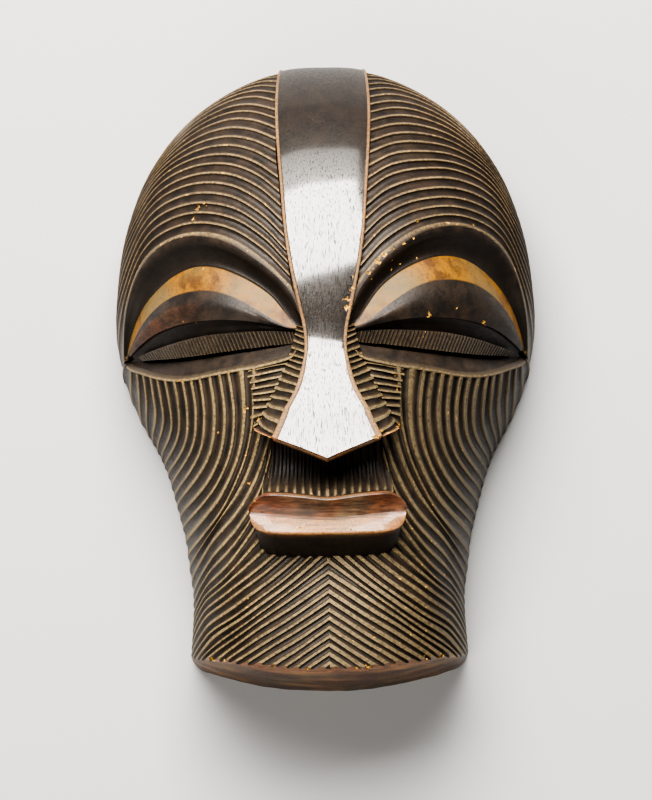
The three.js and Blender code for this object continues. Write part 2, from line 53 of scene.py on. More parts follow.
# Half outline of the back rim, from the crown down past the chin
RIM = [
    (0, 180), (26, 178.5), (53, 168), (79, 149), (100, 122), (113, 90), (119, 55), (119.5, 24),
    (109, -11), (92, -45), (81.5, -82), (76.5, -115), (76, -132), (77, -150), (78.5, -168),
    (79, -190), (76, -225), (66, -262), (36, -300), (0, -312),
]
HUB_Y = 10
DOME_POWER = 2.35
CREST_Y = [-200, -140, -100, -60, -20, 20, 60, 110, 180]
CREST_Z = [126, 121, 117, 118, 124, 131, 134, 134, 134]

WALL_RIM = 9
WALL_FRONT = 16
CHIN_WALL = 11
CHIN_Y = -173
CHIN_LEAN = 2.5
CHIN_LEAN_HEIGHT = 107
CHIN_BOW = 13.5
CHIN_BOW_HALF_WIDTH = 76
CHIN_CORNER_X = 77.5
CHIN_CORNER_RADIUS = 8
# Worn bevel along the chin's front edge: how far back from the end and how far below the face
CHIN_BEVEL = (2.2, 3.6)
BEVEL_REACH = (4, -0.4)
# Size and depth of the bumps on the adzed end of the chin, and along its bevel
CHIN_UNEVEN = [(8, 0.5), (2.6, 0.16)]
BEVEL_UNEVEN = [(5, 0.3), (1.6, 0.15)]
# Heights of the rows of the chin's cut, and those between which the end's red wear comes in
CHIN_ROWS = np.concatenate([[170], np.linspace(130, 0, 53), [-20]])
CHIN_RED_FROM = (66, 104)
# Ridge mark of the end: at its foot, its gain upwards, and the strength and size of its patches
CHIN_WEAR = (0.7, 0.1, 0.28, 9)
# Past everything that is cut off beyond the chin
FAR_Y = -400.0
CORE_DROP = 4.6
SKIN = 8
THICK_SKIN = 13
PAST_RIM = 1.03
FOOT_DROP = 12

# Groove depths
FIELD_DEPTH = 1.45
LASH_GROOVE = 1.0
NOSE_GROOVE = 1.6
LIP_GROOVE = 1.4
# Half the width of a ridge's flat top, as a share of the pitch
THIN = 0.05
# Places across a groove, from one ridge's edge to the next one's, and the depth there. A leaning
# groove drops steeply off the first ridge and rises slowly to the next.
GROOVE_PLACES = [0, 0.1, 0.24, 0.45, 0.68, 0.87, 1]
LEANING = [0, 0.72, 0.98, 1, 0.66, 0.24, 0]
ROUND = [0, 0.55, 0.93, 1, 0.9, 0.45, 0]
# How uneven the grooves' depth is, the share of it left at the rim, and where they start to fade
DEPTH_UNEVEN = 0.2
RIM_SHARE = 0.3
RIM_FADE_FROM = 0.62
# How much lower the forehead's field lies at the rim, and how its share runs, cut off below 0
TEMPLE_SINK = 1.5
TEMPLE_SINK_SHARE = (-1.5, 1)

FOREHEAD = [
    [(20, 270), (46, 268), (70, 262), (96, 250)],
    [(31, 246), (46, 252), (62, 252), (79, 246), (96, 236), (112, 222)],
    [(31, 222), (47, 231), (67, 232), (88, 224), (110, 208), (130, 190)],
    [(31, 199), (47, 210), (68, 213), (92, 206), (117, 188), (140, 166)],
    [(31, 178), (48, 190), (68, 194), (94, 188), (122, 170), (148, 145)],
    [(30, 157), (48, 169), (66, 174), (92, 171), (122, 156), (150, 130)],
    [(28, 138), (46, 150), (64, 156), (90, 156), (120, 146), (152, 118)],
    [(28, 120), (44, 131), (62, 138), (88, 141), (118, 136), (142, 122), (156, 104)],
    [(26, 100), (42, 113), (60, 121), (86, 127), (114, 126), (140, 112), (160, 86)],
    [(24, 81), (38, 94.5), (58, 105.5), (86, 113), (116, 112), (142, 96), (163, 66)],
    [(22, 62.5), (36, 77), (56, 89.7), (86, 98.5), (117, 97), (145, 77), (166, 44)],
    [(20, 46), (34, 61.5), (54, 75), (84, 84), (117, 81.5), (148, 56), (168, 24)],
    [(18, 29.5), (34, 47), (58, 64), (88, 71.5), (119, 66), (141, 43), (155, 16), (172, 4)],
]
FOREHEAD_RIDGES = [2] * 12
FOREHEAD_STATIONS = 48
# The carving's right side is cut a little higher than its left. How much each guide line is
# lifted on the right, and lowered on the left, beside the band and over the eye.
INNER_LIFT = [0, 0, 0.6, 1.3, 2, 2.6, 3.2, 3.7, 4.1, 4.1, 4.3, 2.9, 0.9]
OUTER_LIFT = [0, 0, 0, 0, 0, 0, 0, 0, 0.4, 0.9, 0.9, 1.2, 2.2]
BROW_FOOT_LIFT = 2.2
INNER_LIFT_A = (22, 60)
# Under the brow, where the last ridge's smooth strip ends
BROW_FOOT = [(9, 8), (22, 24), (38, 40), (60, 54), (88, 62), (112, 54), (130, 34), (150, 9), (172, 1)]
# Rows of that strip: share of the way down, and ridge mark, which falls down the strip to paint shade as it
# rolls over into the eye's hollow
BROW_STRIP = [(0.2, 0.7), (0.4, 0.5), (0.7, 0.4), (1, 0.3)]
CHEEK = [
    [(149, 6), (157, 5.5), (163, 5), (170, 4.5), (178, 4)],
    [(136, 0), (138, -11), (143, -21), (153, -30), (166, -38)],
    [(117, -7), (118, -22), (121, -35), (133, -47), (152, -58)],
    [(94, -11), (93, -33), (98, -52), (114, -66), (140, -78)],
    [(72, -12), (71, -40), (77, -62), (97, -83), (131, -105)],
    [(53, -11), (51, -41), (57, -66), (76, -94), (124, -132)],
    [(39, -13), (42, -46), (50, -71), (70, -103), (118, -150)],
    [(32, -45), (40, -68), (53, -91), (76, -117), (114, -164)],
    [(31, -60), (38, -82), (52, -104), (77, -133), (112, -180)],
    [(33, -95), (46, -113), (61, -132), (84, -158), (112, -200)],
    [(22, -110), (38, -125), (60, -145), (84, -171), (110, -212)],
]
CHIN = [
    [(0, -112), (20, -131), (48, -155), (77, -183), (107, -222)],
    [(0, -124), (22, -141), (48, -163), (77, -192), (111, -240)],
    [(0, -135), (20, -150), (44, -168), (70, -194), (100, -236)],
    [(0, -147), (19, -161), (39, -176), (62, -196), (87, -227)],
    [(0, -159), (16, -171), (32, -183), (47, -196), (62, -211)],
    [(0, -171), (12, -180), (23, -189), (34, -198), (45, -208)],
    [(0, -183), (8, -189), (16, -196), (24, -203), (32, -210)],
    [(0, -199), (6, -203), (12, -208), (18, -213), (24, -218)],
]
LOWER_FACE_RIDGES = [
    2, 2.2, 3.2, 3.1, 3.1, 1.6, 1.4, 1.5, 2.4, 2.6, 3.8, 1.7, 1.9, 2.2, 2.2, 2.3, 2, 2,
]
# Half ridge width and lean of the grooves at the outer cheek, at the mouth and on the chin
LOWER_FACE_GUIDES = [0, 5, 9, 11, 18]
LOWER_FACE_CRESTS = [0.08, 0.1, 0.12, 0.17, 0.19]
LOWER_FACE_LEANS = [1, 1, 0.7, 0.3, 0.2]
# The right side's ridges are wider and the left side's narrower, each by this share
RIGHT_WIDER = 0.25
LOWER_FACE_STATIONS = 46
LOWER_FACE_WANDER = 0.11

# Forehead band and top of the nose: distance up the face, half width, height over the face
BAND = [
    (290, 33, 1.2), (262, 33, 1.2), (235, 32.5, 1.2), (208, 31.5, 1.2), (180, 30.5, 1.2),
    (150, 29.3, 1.2), (118, 27, 1.2), (90, 24.5, 1.2), (63, 22.2, 1.2), (46, 20, 1.2),
    (30, 17, 1.3), (16, 14, 1.6), (7, 12, 2.2), (-3, 11, 4), (-15, 12, 8.5), (-25, 14.3, 13),
    (-36, 18.7, 17.5),
]
# Its rows: first and last distance up the face, and how many; then the rows of the nose's tip
BAND_ROWS = [(290, 20, 60), (18, -36, 28)]
TIP_ROWS = 8
NOSE_TIP = (0, -64, 25)
NOSE_CORNER = (23.7, -52, 22)
# Half section of the band's edge ridge: distance in from the edge, and lift over the band
BAND_EDGE = [(0, 0), (0.3, 0.45), (0.8, 0.6), (1.3, 0.5), (1.7, 0.1), (2.1, -0.1)]
BAND_CROWN = 0.6
# Marks of its worn edge, and of the dark wood between its edges
BAND_EDGE_RIDGE = 0.9
BAND_EDGE_RED = 0.35
BAND_DARK = 0.9
# Distances up the face between which the band's polish fades to the crown's
CROWN_DULL = (96, 150)
CROWN_POLISH = 0.1
NOSE_UNDERCUT = 9
# Worn bevel along the bottom of the nose: rows of distance down the face, drop and ridge mark
NOSE_BEVEL = [(1.0, 0.6, 0.8), (2.1, 2.0, 0.75), (2.6, 4, 0)]

NOSE_STRIP = [
    (15, 8, 0.5), (16.5, 2, -1), (19.5, -7, -2), (22.5, -13.5, -0.5), (26.5, -24.5, 3.5),
    (31, -35.5, 7), (35.6, -47.3, 9.5),
]
NOSE_EDGE = [
    (12.5, 9, 2), (11.2, 2, 3), (11.2, -7, 5.5), (12, -15, 8.5), (14.3, -25, 13),
    (18.5, -36, 17.5), (23.2, -53.4, 21.5),
]
NOSE_FOOT = [
    (18, 8, -4), (20, 2, -4), (27, -8, -3), (43, -14.5, -0.5), (41.5, -23.5, 1),
    (39.8, -32.5, 3.5), (37.3, -46, 8),
]
RIB_GUIDES = 13
RIB_RED_ROWS = 3
STRIP_RIBS = 15
# The ribs beside the nose meet in chevrons: their outer ends lie this share of a step lower
RIB_DROP = 0.3
TRIANGLE_FROM = 2.4
TRIANGLE_RIBS = 10
NOSE_BASE_DROP = 2.4
NOSE_UNDER_BAND = 3
NOSE_SET_IN = 0.8
NOSE_BACK = 3
NOSE_LAP = 0.6
NOSE_FACE_DEPTH = 7
NOSE_FACE_LEAN = 0.1

EYE_A = [12.5, 17, 22, 30, 40, 52, 66, 82, 98, 114, 130, 143, 153]
EYE_BROW = [9.5, 23, 31, 40, 49, 58, 65, 69.5, 70, 65.5, 54, 33, 12]
EYE_CRESCENT_TOP = [8, 8.5, 15.5, 26, 34.5, 42, 48.5, 52, 51, 46.5, 38, 24, 10.2]
EYE_CRESCENT_LOW = [6.8, 7, 8.6, 13.5, 20.5, 28, 33.5, 36, 35.5, 31, 23, 14.5, 8.9]
EYE_LID_EDGE = [5.6, 5.6, 6.8, 8.8, 11, 12.8, 14.2, 15, 14.7, 13.5, 11, 9, 7.6]
EYE_LASH_TOP = [5, 4.6, 5, 5.4, 5.5, 5.6, 5.8, 5.7, 5, 4.6, 4.6, 5.2, 6.2]
EYE_SLIT_TOP = [4, -0.8, -1.6, -2.4, -3.3, -4.2, -4.8, -5, -4.7, -3.4, -0.8, 2.4, 5.2]
EYE_SLIT_LOW = [3.2, -1.8, -2.9, -4, -5.3, -6.5, -7.3, -7.6, -7.1, -5.4, -2.3, 1.5, 4.6]
EYE_LOWER_EDGE = [2.5, -7, -9.8, -11.6, -13.3, -14.4, -15.7, -17, -15.9, -12.2, -6.7, -2, 3.3]
EYE_DEPTH = [0.15, 0.4, 0.6, 0.8, 0.95, 1, 1, 1, 1, 0.95, 0.8, 0.5, 0.15]
# Section of the eye from the brow down: the two lines that a row lies between, its share of the
# way, a fixed drop and a drop that EYE_DEPTH scales
EYE_SECTION = [
    (EYE_BROW, EYE_BROW, 0, 0.05, 0),
    (EYE_BROW, EYE_CRESCENT_TOP, 0.12, 0.25, 0.3),
    (EYE_BROW, EYE_CRESCENT_TOP, 0.25, 0.6, 1.5),
    (EYE_BROW, EYE_CRESCENT_TOP, 0.38, 1, 4.6),
    (EYE_BROW, EYE_CRESCENT_TOP, 0.6, 1, 7.6),
    (EYE_BROW, EYE_CRESCENT_TOP, 0.86, 1, 8.6),
    (EYE_CRESCENT_TOP, EYE_CRESCENT_TOP, 0, 1, 6.8),
    (EYE_CRESCENT_LOW, EYE_CRESCENT_LOW, 0, 1.5, 2.9),
    (EYE_CRESCENT_LOW, EYE_LID_EDGE, 0.5, 1.5, 1.1),
    (EYE_LID_EDGE, EYE_LID_EDGE, 0, 1.6, 2.2),
    (EYE_LID_EDGE, EYE_LASH_TOP, 0.15, 1.6, 6.4),
    (EYE_LASH_TOP, EYE_LASH_TOP, 0, 1.6, 8.5),
    (EYE_SLIT_TOP, EYE_SLIT_TOP, 0, 1.6, 9),
    (EYE_SLIT_LOW, EYE_SLIT_LOW, 0, 1.6, 7.5),
    (EYE_SLIT_LOW, EYE_LOWER_EDGE, 0.55, 1.4, 2.4),
    (EYE_LOWER_EDGE, EYE_LOWER_EDGE, 0, 1, 0),
]
# Smooth stretches of that section: first row, last row and number of steps
EYE_STRETCHES = [(0, 6, 15), (6, 9, 11), (9, 11, 3), (11, 12, 2), (12, 13, 2), (13, 15, 6)]
# Lines that lie higher on the right and lower on the left, and by how much
EYE_LIFTS = [(EYE_BROW, 2.2), (EYE_CRESCENT_TOP, 2.4), (EYE_CRESCENT_LOW, 2.4)]
# Rows of that section that are ochre, and the painted shade by row in the hollow under the brow and under
# the lid
OCHRE_ROWS = (5.99, 6.96)
HOLLOW_SHADE = ([1, 2.2, 5.9, 6], [0, 1, 1, 0])
LID_SHADE = 0.7
LID_SHADE_ROWS = (9.2, 12.99)
# Red of the left lid, which comes in between two distances across
LID_RED = 0.4
LID_RED_ROWS = (7.9, 9.01)
LID_RED_A = (70, 100)
EYE_COLUMN_STEPS = 5
EYE_CUT_LIFT = 7
EYE_BLANK_A = [14, 22, 40, 66, 90, 114, 132, 148]
EYE_BLANK_SET_IN = (2.5, 1.5)
EYE_BLANK_HEIGHT = 2
EYE_BLANK_ROWS = 4
LASH_A = [18, 34, 54, 74, 94, 114, 138]
LASH_RIDGES = [7, 8, 8, 8, 8, 9]
LASH_LEAN = 3.3
LASH_DROP = 1.4
LASH_DEPTH = 4.6
LASH_SLOPE = 1.2
# Rim of the lower lid: offset up from the lid's lower edge, height and ridge mark
LID_RIM = [
    (2.4, -2.7, 0.3), (1.5, -1.4, 0.6), (0.7, -0.35, 0.8), (0.1, 0.05, 1), (-0.5, 0, 0.9),
    (-0.9, -0.5, 0.6), (-1.1, -1.2, 0.3),
]
LID_RIM_A = (13.5, 152)
LID_RIM_STATIONS = 61
SLIT_A = [18, 30, 46, 64, 82, 98, 114, 128, 139]
SLIT_END_GAP = 0.25
SLIT_TOP = 2
SLIT_REACH = 40

# Mouth block: columns across with the top edge, the valley between the lips and the bottom edge
MOUTH = [
    (35.8, -93, -96, -99.5), (35, -90.8, -96, -103), (33, -87.6, -95.8, -105.6),
    (29.5, -84.6, -95.5, -107.2), (24, -83.8, -95.4, -107.9), (16, -84.4, -96.3, -108),
    (8, -85.5, -97, -108), (3, -86.2, -97.2, -108), (0, -86.4, -97.2, -108),
]
MOUTH_COLUMNS = 41
MOUTH_HEIGHT = (21.5, 15.5, 20)
MOUTH_END_DROP = (2, -2.5, 1.5)
MOUTH_ROUND_FROM = 27
MOUTH_ROUND_WIDTH = 9
MOUTH_SPREAD = 1.17
MOUTH_FOOT = (2, -12)
# Rounded edges of the lips: distance in from the edge, and drop
MOUTH_EDGE = [(0, 1.5), (0.25, 0.7), (0.8, 0.15), (1.6, 0)]
# Across each lip: shares of the way, and its bulge, which is a hollow below 0
UPPER_LIP = ((0.25, 0.5, 0.75), -0.9)
LOWER_LIP = ((0.2, 0.45, 0.7), 0.3)
# Shifts to the block's sides: of the end columns, and of the first and last rows
MOUTH_ENDS = [(1.2, 0, -5), (0.45, 0, -1.3)]
MOUTH_WALLS = [(0, 1.2, -3.5), (0, -1.8, -3.5)]
# Marks of the upper lip, lower lip and sides, and ridge marks of the lips' two edges
# The lower lip's high ridge mark paints it pale: worn wood, and a painted highlight on the facet that faces
# the light; the dark mark of the sides and underside is painted shade
MOUTH_MARKS = {
    "red": (0.85, 1, 0.1), "ridge": (0.3, 0.85, 0), "dark": (0, 0, 0.8), "polish": (0.05, 0.25, 0),
}
MOUTH_EDGE_RIDGES = (0.8, 0.97)

LIP_A = [-1, -0.75, -0.5, -0.25, 0, 0.25, 0.5, 0.75, 1]
LIP_ROWS = [(34, -40, -0.5, 0), (34, -58, -0.5, 0), (34.5, -69, 1, 1.5), (34.5, -76.5, 6, 3.5)]
LIP_EDGE = (32, -1, 20, 8)
LIP_RIDGES = [2] * 8
LIP_CREST = 0.11
LIP_STATIONS = 24
# Share of the ridge mark along each line, cut off below 0 and above 1; the rest is marked dark as painted
# shade under the nose's overhang
LIP_MARK_SHARE = (-1.6, 1.4)

# Chips that show bare wood: place across, place up, and size
CHIPS = [
    (11.6, 17, 1.7), (11.5, 22, 1.4), (14.8, 27.7, 1.2), (23.7, 36.2, 2), (28.8, 42.5, 2.6),
    (32.8, 46.8, 1.9), (38, 50.5, 0.9), (43.9, 54.1, 1.3), (50, 57.8, 1), (15, 33.5, 0.8), (13.5, 26.3, 1),
    (12.6, 21, 1), (-75.7, 85.6, 1.8), (-71, 86.5, 1.3), (-78.8, 79, 1.2), (53.1, 68.9, 1.2),
    (92, 76.7, 0.9), (60, 15.3, 1.7), (100, 15.9, 1.9), (78, 21, 0.7), (-80.2, 14.2, 0.9),
    (-87, 16.5, 0.7), (38.6, 40.5, 0.8), (44.4, 44.6, 0.7), (55.5, 49.6, 0.8), (-74.7, 47.6, 0.9),
    (-95.1, 45.7, 0.8), (-93.1, -16.3, 1.5), (-88.2, -17.4, 1.4), (-55.2, -14.9, 1), (59, 5.3, 0.8),
    (-46.4, -36.7, 2), (-46.7, -61.6, 1.3), (-89.4, -70.5, 1), (-65.9, -49, 0.9), (-45, -77.6, 1.2),
    (-46.4, -145.4, 1), (25.2, -167.4, 1.2), (-64.8, -155.3, 0.8), (-32.9, -43.8, 1.4),
    (36.8, -44.9, 2.1), (39.1, -25.9, 1.1), (38.2, -18.3, 0.9), (-35.4, -41.6, 1.3), (24, -49.8, 2),
    (21.2, -52.6, 1.5), (-21.7, -49.3, 1.1), (-33.4, -88.3, 1.1), (-14, -103.6, 1.3), (11.5, -105.2, 1),
]
# Chips above this size have two smaller ones beside them, of this share of it
CRUMBS_FROM = 1.15
CRUMB_SHARE = (0.3, 0.55)
CHIP_STEPS = 9
CHIP_DEPTH = 0.42
CHIP_RISE = 0.14
CHIP_NARROW = (0.5, 0.85)
CHIP_ROUGH = 0.05
CHIP_RAGGED = (0.2, 0.16)
# Chips along the front edge of the chin: place across and size
CHIN_CHIPS = [
    (-64, 2.2), (-57, 1.6), (-31, 1.2), (-12, 1.5), (2, 1), (14, 1.6), (21, 2), (33, 1), (52, 1.8),
    (60, 2.4), (67, 1.7),
]
# Cuts of the adze inside: how many, how far each reaches, how deep, and how much shorter up the face
GOUGES = 420
GOUGE_REACH = 13
GOUGE_DEPTH = 1.1
GOUGE_SHORTER = 0.55

rng = np.random.default_rng(11)


# Shape of the smooth face

def curve(xs, ys, x):
    """Smooth line through the listed values; ys may hold whole arrays."""
    xs = np.asarray(xs, float)
    ys = np.asarray(ys, float)
    t = np.clip(np.asarray(x, float), xs[0], xs[-1])
    last = len(xs) - 1
    i = np.clip(np.searchsorted(xs, t, side="left") - 1, 0, last - 1)
    lo = np.maximum(np.arange(last + 1) - 1, 0)
    hi = np.minimum(np.arange(last + 1) + 1, last)
    deeper = (...,) + (None,) * (ys.ndim - 1)
    slope = (ys[hi] - ys[lo]) / (xs[hi] - xs[lo])[deeper]
    u = ((t - xs[i]) / (xs[i + 1] - xs[i]))[deeper]
    span = (xs[i + 1] - xs[i])[deeper]
    value = (1 + 2 * u) * (1 - u) ** 2 * ys[i] + u * u * (3 - 2 * u) * ys[i + 1]
    return value + span * (u * (1 - u) ** 2 * slope[i] - u * u * (1 - u) * slope[i + 1])


def between(table, t):
    """Smooth reading of a table at row numbers that need not be whole."""
    return curve(np.arange(len(table)), table, t)


RIM_ANGLE, RIM_RADIUS = zip(*sorted((math.atan2(y - HUB_Y, x), math.hypot(x, y - HUB_Y)) for x, y in RIM))


def xyz(*parts):
    """Points from three arrays or numbers."""
    return np.stack(np.broadcast_arrays(*parts), -1)


def rise(x, start, end):
    """From 0 at start to 1 at end, and level beyond both."""
    return np.clip((x - start) / (end - start), 0, 1)


def rim_radius(angle):
    return curve(RIM_ANGLE, RIM_RADIUS, np.arctan2(np.sin(angle), np.abs(np.cos(angle))))


def crest(y):
    return curve(CREST_Y, CREST_Z, y)


def dome(rho):
    return np.maximum(1 - np.minimum(rho, 1) ** DOME_POWER, 0) ** (1 / DOME_POWER)


def base(a, b):
    """Point of the smooth face under (a, b); past the rim it goes straight down."""
    angle = np.arctan2(b - HUB_Y, a)
    r = rim_radius(angle)
    q = np.hypot(a, b - HUB_Y) / (r * QUARTER)
    rho = np.sin(np.minimum(q, 1) * QUARTER)
    y = HUB_Y + rho * r * np.sin(angle)
    z = np.where(q > 1, -(q - 1) * r * QUARTER, crest(y) * dome(rho))
    return xyz(rho * r * np.cos(angle), y, z)


def point(grid):
    step = 0.4
    a, b, h = np.moveaxis(np.asarray(grid, float), -1, 0)
    across = base(a + step, b) - base(a - step, b)
    up = base(a, b + step) - base(a, b - step)
    normal = np.cross(across, up)
    normal /= np.linalg.norm(normal, axis=-1, keepdims=True)
    p = base(a, b) + normal * h[..., None]
    p[np.abs(p[..., 0]) < 1e-6, 0] = 0
    return p


def to_rim(a, b):
    """The same direction from the hub, carried just past the rim."""
    reach = PAST_RIM * rim_radius(math.atan2(b - HUB_Y, a)) * QUARTER
    k = float(reach) / math.hypot(a, b - HUB_Y)
    return (a * k, HUB_Y + (b - HUB_Y) * k)


def rimmed(guides):
    return [g[:-1] + [to_rim(*g[-1])] for g in guides]


# Blocks of wood: closed meshes with the marks that the finish reads

# The dark mark is painted shade in the eye's hollows, under the lids, in the slits, under the nose and
# mouth and high on the upper lip; on the band it is the wood's own black
MARKS = ("ridge", "ochre", "polish", "red", "dark", "raw", "bare")


class Block:
    """Closed mesh in millimetres with one value of each mark per vertex."""

    def __init__(self, vertices, faces, marks):
        self.vertices = np.asarray(vertices, float)
        self.faces = faces
        self.marks = np.zeros((len(self.vertices), len(MARKS)))
        for name, values in marks.items():
            self.marks[:, MARKS.index(name)] = values


def block(top, bottom, **marks):
    """Closed block between two grids of points with the same rows and columns."""
    rows, cols = top.shape[:2]
    half = rows * cols
    index = np.arange(half).reshape(rows, cols)
    quads = np.stack([index[:-1, :-1], index[:-1, 1:], index[1:, 1:], index[1:, :-1]], -1).reshape(-1, 4)
    under = quads[:, ::-1] + half
    loop = np.concatenate([index[0, :-1], index[:-1, -1], index[-1, :0:-1], index[:0:-1, 0]])
    ahead = np.roll(loop, -1)
    side = np.stack([ahead, loop, loop + half, ahead + half], -1)
    vertices = np.concatenate([top.reshape(-1, 3), bottom.reshape(-1, 3)])
    faces = np.concatenate([quads, under, side])
    p = vertices[faces]
    volume = (p[:, 0] * np.cross(p[:, 2] - p[:, 0], p[:, 3] - p[:, 1])).sum()
    if volume < 0:
        faces = faces[:, ::-1]
    full = {name: np.concatenate([np.broadcast_to(v, (rows, cols)).reshape(-1)] * 2)
            for name, v in marks.items()}
    return Block(vertices, [tuple(f) for f in faces.tolist()], full)


SIDES = (-1, 1)


def mirror(grid):
    return grid * np.array([-1, 1, 1])


def sunk(grid, depth):
    low = grid.copy()
    low[..., 2] = -depth
    return low


def sided(top, bottom, side, **marks):
    """Block on the right for side 1 and on the left for side -1."""
    if side < 0:
        top, bottom = mirror(top), mirror(bottom)
    return block(point(top), point(bottom), **marks)


def both(top, bottom, **marks):
    return [sided(top, bottom, side, **marks) for side in (1, -1)]


def slab(grid, side, depth=SKIN, **marks):
    """Block from a grid down to a fixed depth; its underside has no ridges."""
    piece = sided(grid, sunk(grid, depth), side, **marks)
    piece.marks[len(piece.marks) // 2:, MARKS.index("ridge")] = 0
    return piece


def along(points, t):
    """Smooth line through listed points, read at shares t of its length."""
    full = np.array([tuple(p) + (0,) * (3 - len(p)) for p in points], float)
    reached = np.concatenate([[0], np.cumsum(np.linalg.norm(np.diff(full, axis=0), axis=1))])
    return curve(reached, full, np.asarray(t) * reached[-1])


def grooved(guides, spans, stations, depth, crests, leans, wander=0.07, far_share=1):
    """Ridges and grooves carried across a family of guide lines.

    spans[i] is how many ridge widths fit between guide i and guide i + 1, and need not be whole.
    crests and leans hold a value for each guide, or one for all. The grooves' depth falls to
    far_share at the far end. Gives the grid and a mark that is 1 on a ridge and 0 in a groove.
    """
    t = np.linspace(0, 1, stations)
    depth = depth * (1 - (1 - far_share) * rise(t, RIM_FADE_FROM, 1))
    lines = np.array([along(g, t) for g in guides])
    index = np.arange(len(guides))
    crests, leans = (np.broadcast_to(values, index.shape) for values in (crests, leans))
    total = round(sum(spans))
    reached = np.concatenate([[0], np.cumsum(spans)]) * total / sum(spans)
    drift = wander * slow_noise(total + 1, t)
    drift[[0, -1]] = 0
    depths = 1 + DEPTH_UNEVEN * slow_noise(total + 1, t)
    profile = []
    for number in range(total):
        u = np.interp(number + 0.5, reached, index)
        crest_share = np.interp(u, index, crests)
        lean = np.interp(u, index, leans)
        profile.append((number + drift[number], 0, 1))
        for s, leaning, rounded in zip(GROOVE_PLACES, LEANING, ROUND):
            share = crest_share + s * (1 - 2 * crest_share)
            cut = lean * leaning + (1 - lean) * rounded
            place = number + share + drift[number] * (1 - share) + drift[number + 1] * share
            profile.append((place, depth * cut * depths[number], 1 - cut))
    profile.append((total, 0, 1))
    rows, lifts, ridge = zip(*profile)
    rows, lifts = (np.array([np.broadcast_to(v, t.shape) for v in values]) for values in (rows, lifts))
    u = np.interp(rows, reached, index)
    grid = np.empty(u.shape + (3,))
    for k in range(stations):
        grid[:, k] = between(lines[:, k], u[:, k])
    grid[..., 2] -= lifts
    return grid, np.array(ridge)[:, None]


def slow_noise(rows, t):
    """One smooth wandering line per row, between about -1 and 1."""
    phase = rng.uniform(0, 2 * math.pi, (3, rows, 1))
    speed = rng.uniform(0.6, 1.4, (3, rows, 1)) * np.array([3.0, 7.0, 13.0])[:, None, None]
    share = np.array([0.55, 0.3, 0.15])[:, None, None]
    return (share * np.sin(speed * t[None, None, :] + phase)).sum(0)


# Parts of the carving

def eye(line, a):
    return curve(EYE_A, line, a)


def over_eye(a):
    """Share of the eye's lift at a distance across: none at its corners."""
    return eye(EYE_DEPTH, a) ** 2 * (np.asarray(a) > EYE_A[0])


def lifted(line, inner, outer, side):
    near, far = INNER_LIFT_A
    return [(a, b + side * float(inner * rise(a, far, near) + outer * over_eye(a))) for a, b in line]


def forehead(side):
    guides = rimmed([lifted(*line, side) for line in zip(FOREHEAD, INNER_LIFT, OUTER_LIFT)])
    grid, ridge = grooved(guides, FOREHEAD_RIDGES, FOREHEAD_STATIONS, FIELD_DEPTH, THIN, 1,
                          far_share=RIM_SHARE)
    grid[..., 2] -= TEMPLE_SINK * np.clip(np.linspace(*TEMPLE_SINK_SHARE, FOREHEAD_STATIONS), 0, 1)
    foot = rimmed([lifted(BROW_FOOT, 0, BROW_FOOT_LIFT, side)])[0]
    foot = along(foot, np.linspace(0, 1, FOREHEAD_STATIONS))
    strip = [grid[-1] + (foot - grid[-1]) * share for share, _ in BROW_STRIP]
    ridge = np.concatenate([ridge, [[mark] for _, mark in BROW_STRIP]])
    return slab(np.concatenate([grid, strip]), side, ridge=ridge)


def lower_face(side):
    guides = rimmed(CHEEK + CHIN[:1]) + CHIN[1:]
    index = np.arange(len(guides))
    crests = (1 + RIGHT_WIDER * side) * np.interp(index, LOWER_FACE_GUIDES, LOWER_FACE_CRESTS)
    leans = np.interp(index, LOWER_FACE_GUIDES, LOWER_FACE_LEANS)
    grid, ridge = grooved(guides, LOWER_FACE_RIDGES, LOWER_FACE_STATIONS, FIELD_DEPTH, crests, leans,
                          LOWER_FACE_WANDER, RIM_SHARE)
    return slab(grid, side, ridge=ridge)


def eye_blank(side):
    from_brow, from_edge = EYE_BLANK_SET_IN
    a = np.array(EYE_BLANK_A, float)
    top = eye(EYE_BROW, a) - from_brow
    low = eye(EYE_LOWER_EDGE, a) + from_edge
    b = top[:, None] + (low - top)[:, None] * np.linspace(0, 1, EYE_BLANK_ROWS)
    # Marked dark: painted shade wherever the blank shows in the eye's recess
    return slab(xyz(a[:, None], b, EYE_BLANK_HEIGHT), side, THICK_SKIN, dark=1)


def eye_line(line, a, side):
    """One line of the eye's section, with the lift that this side of it has."""
    lift = sum(height for raised, height in EYE_LIFTS if raised is line)
    return eye(line, a) + lift * side * over_eye(a)


def within(place, rows):
    return (place > rows[0]) & (place < rows[1])


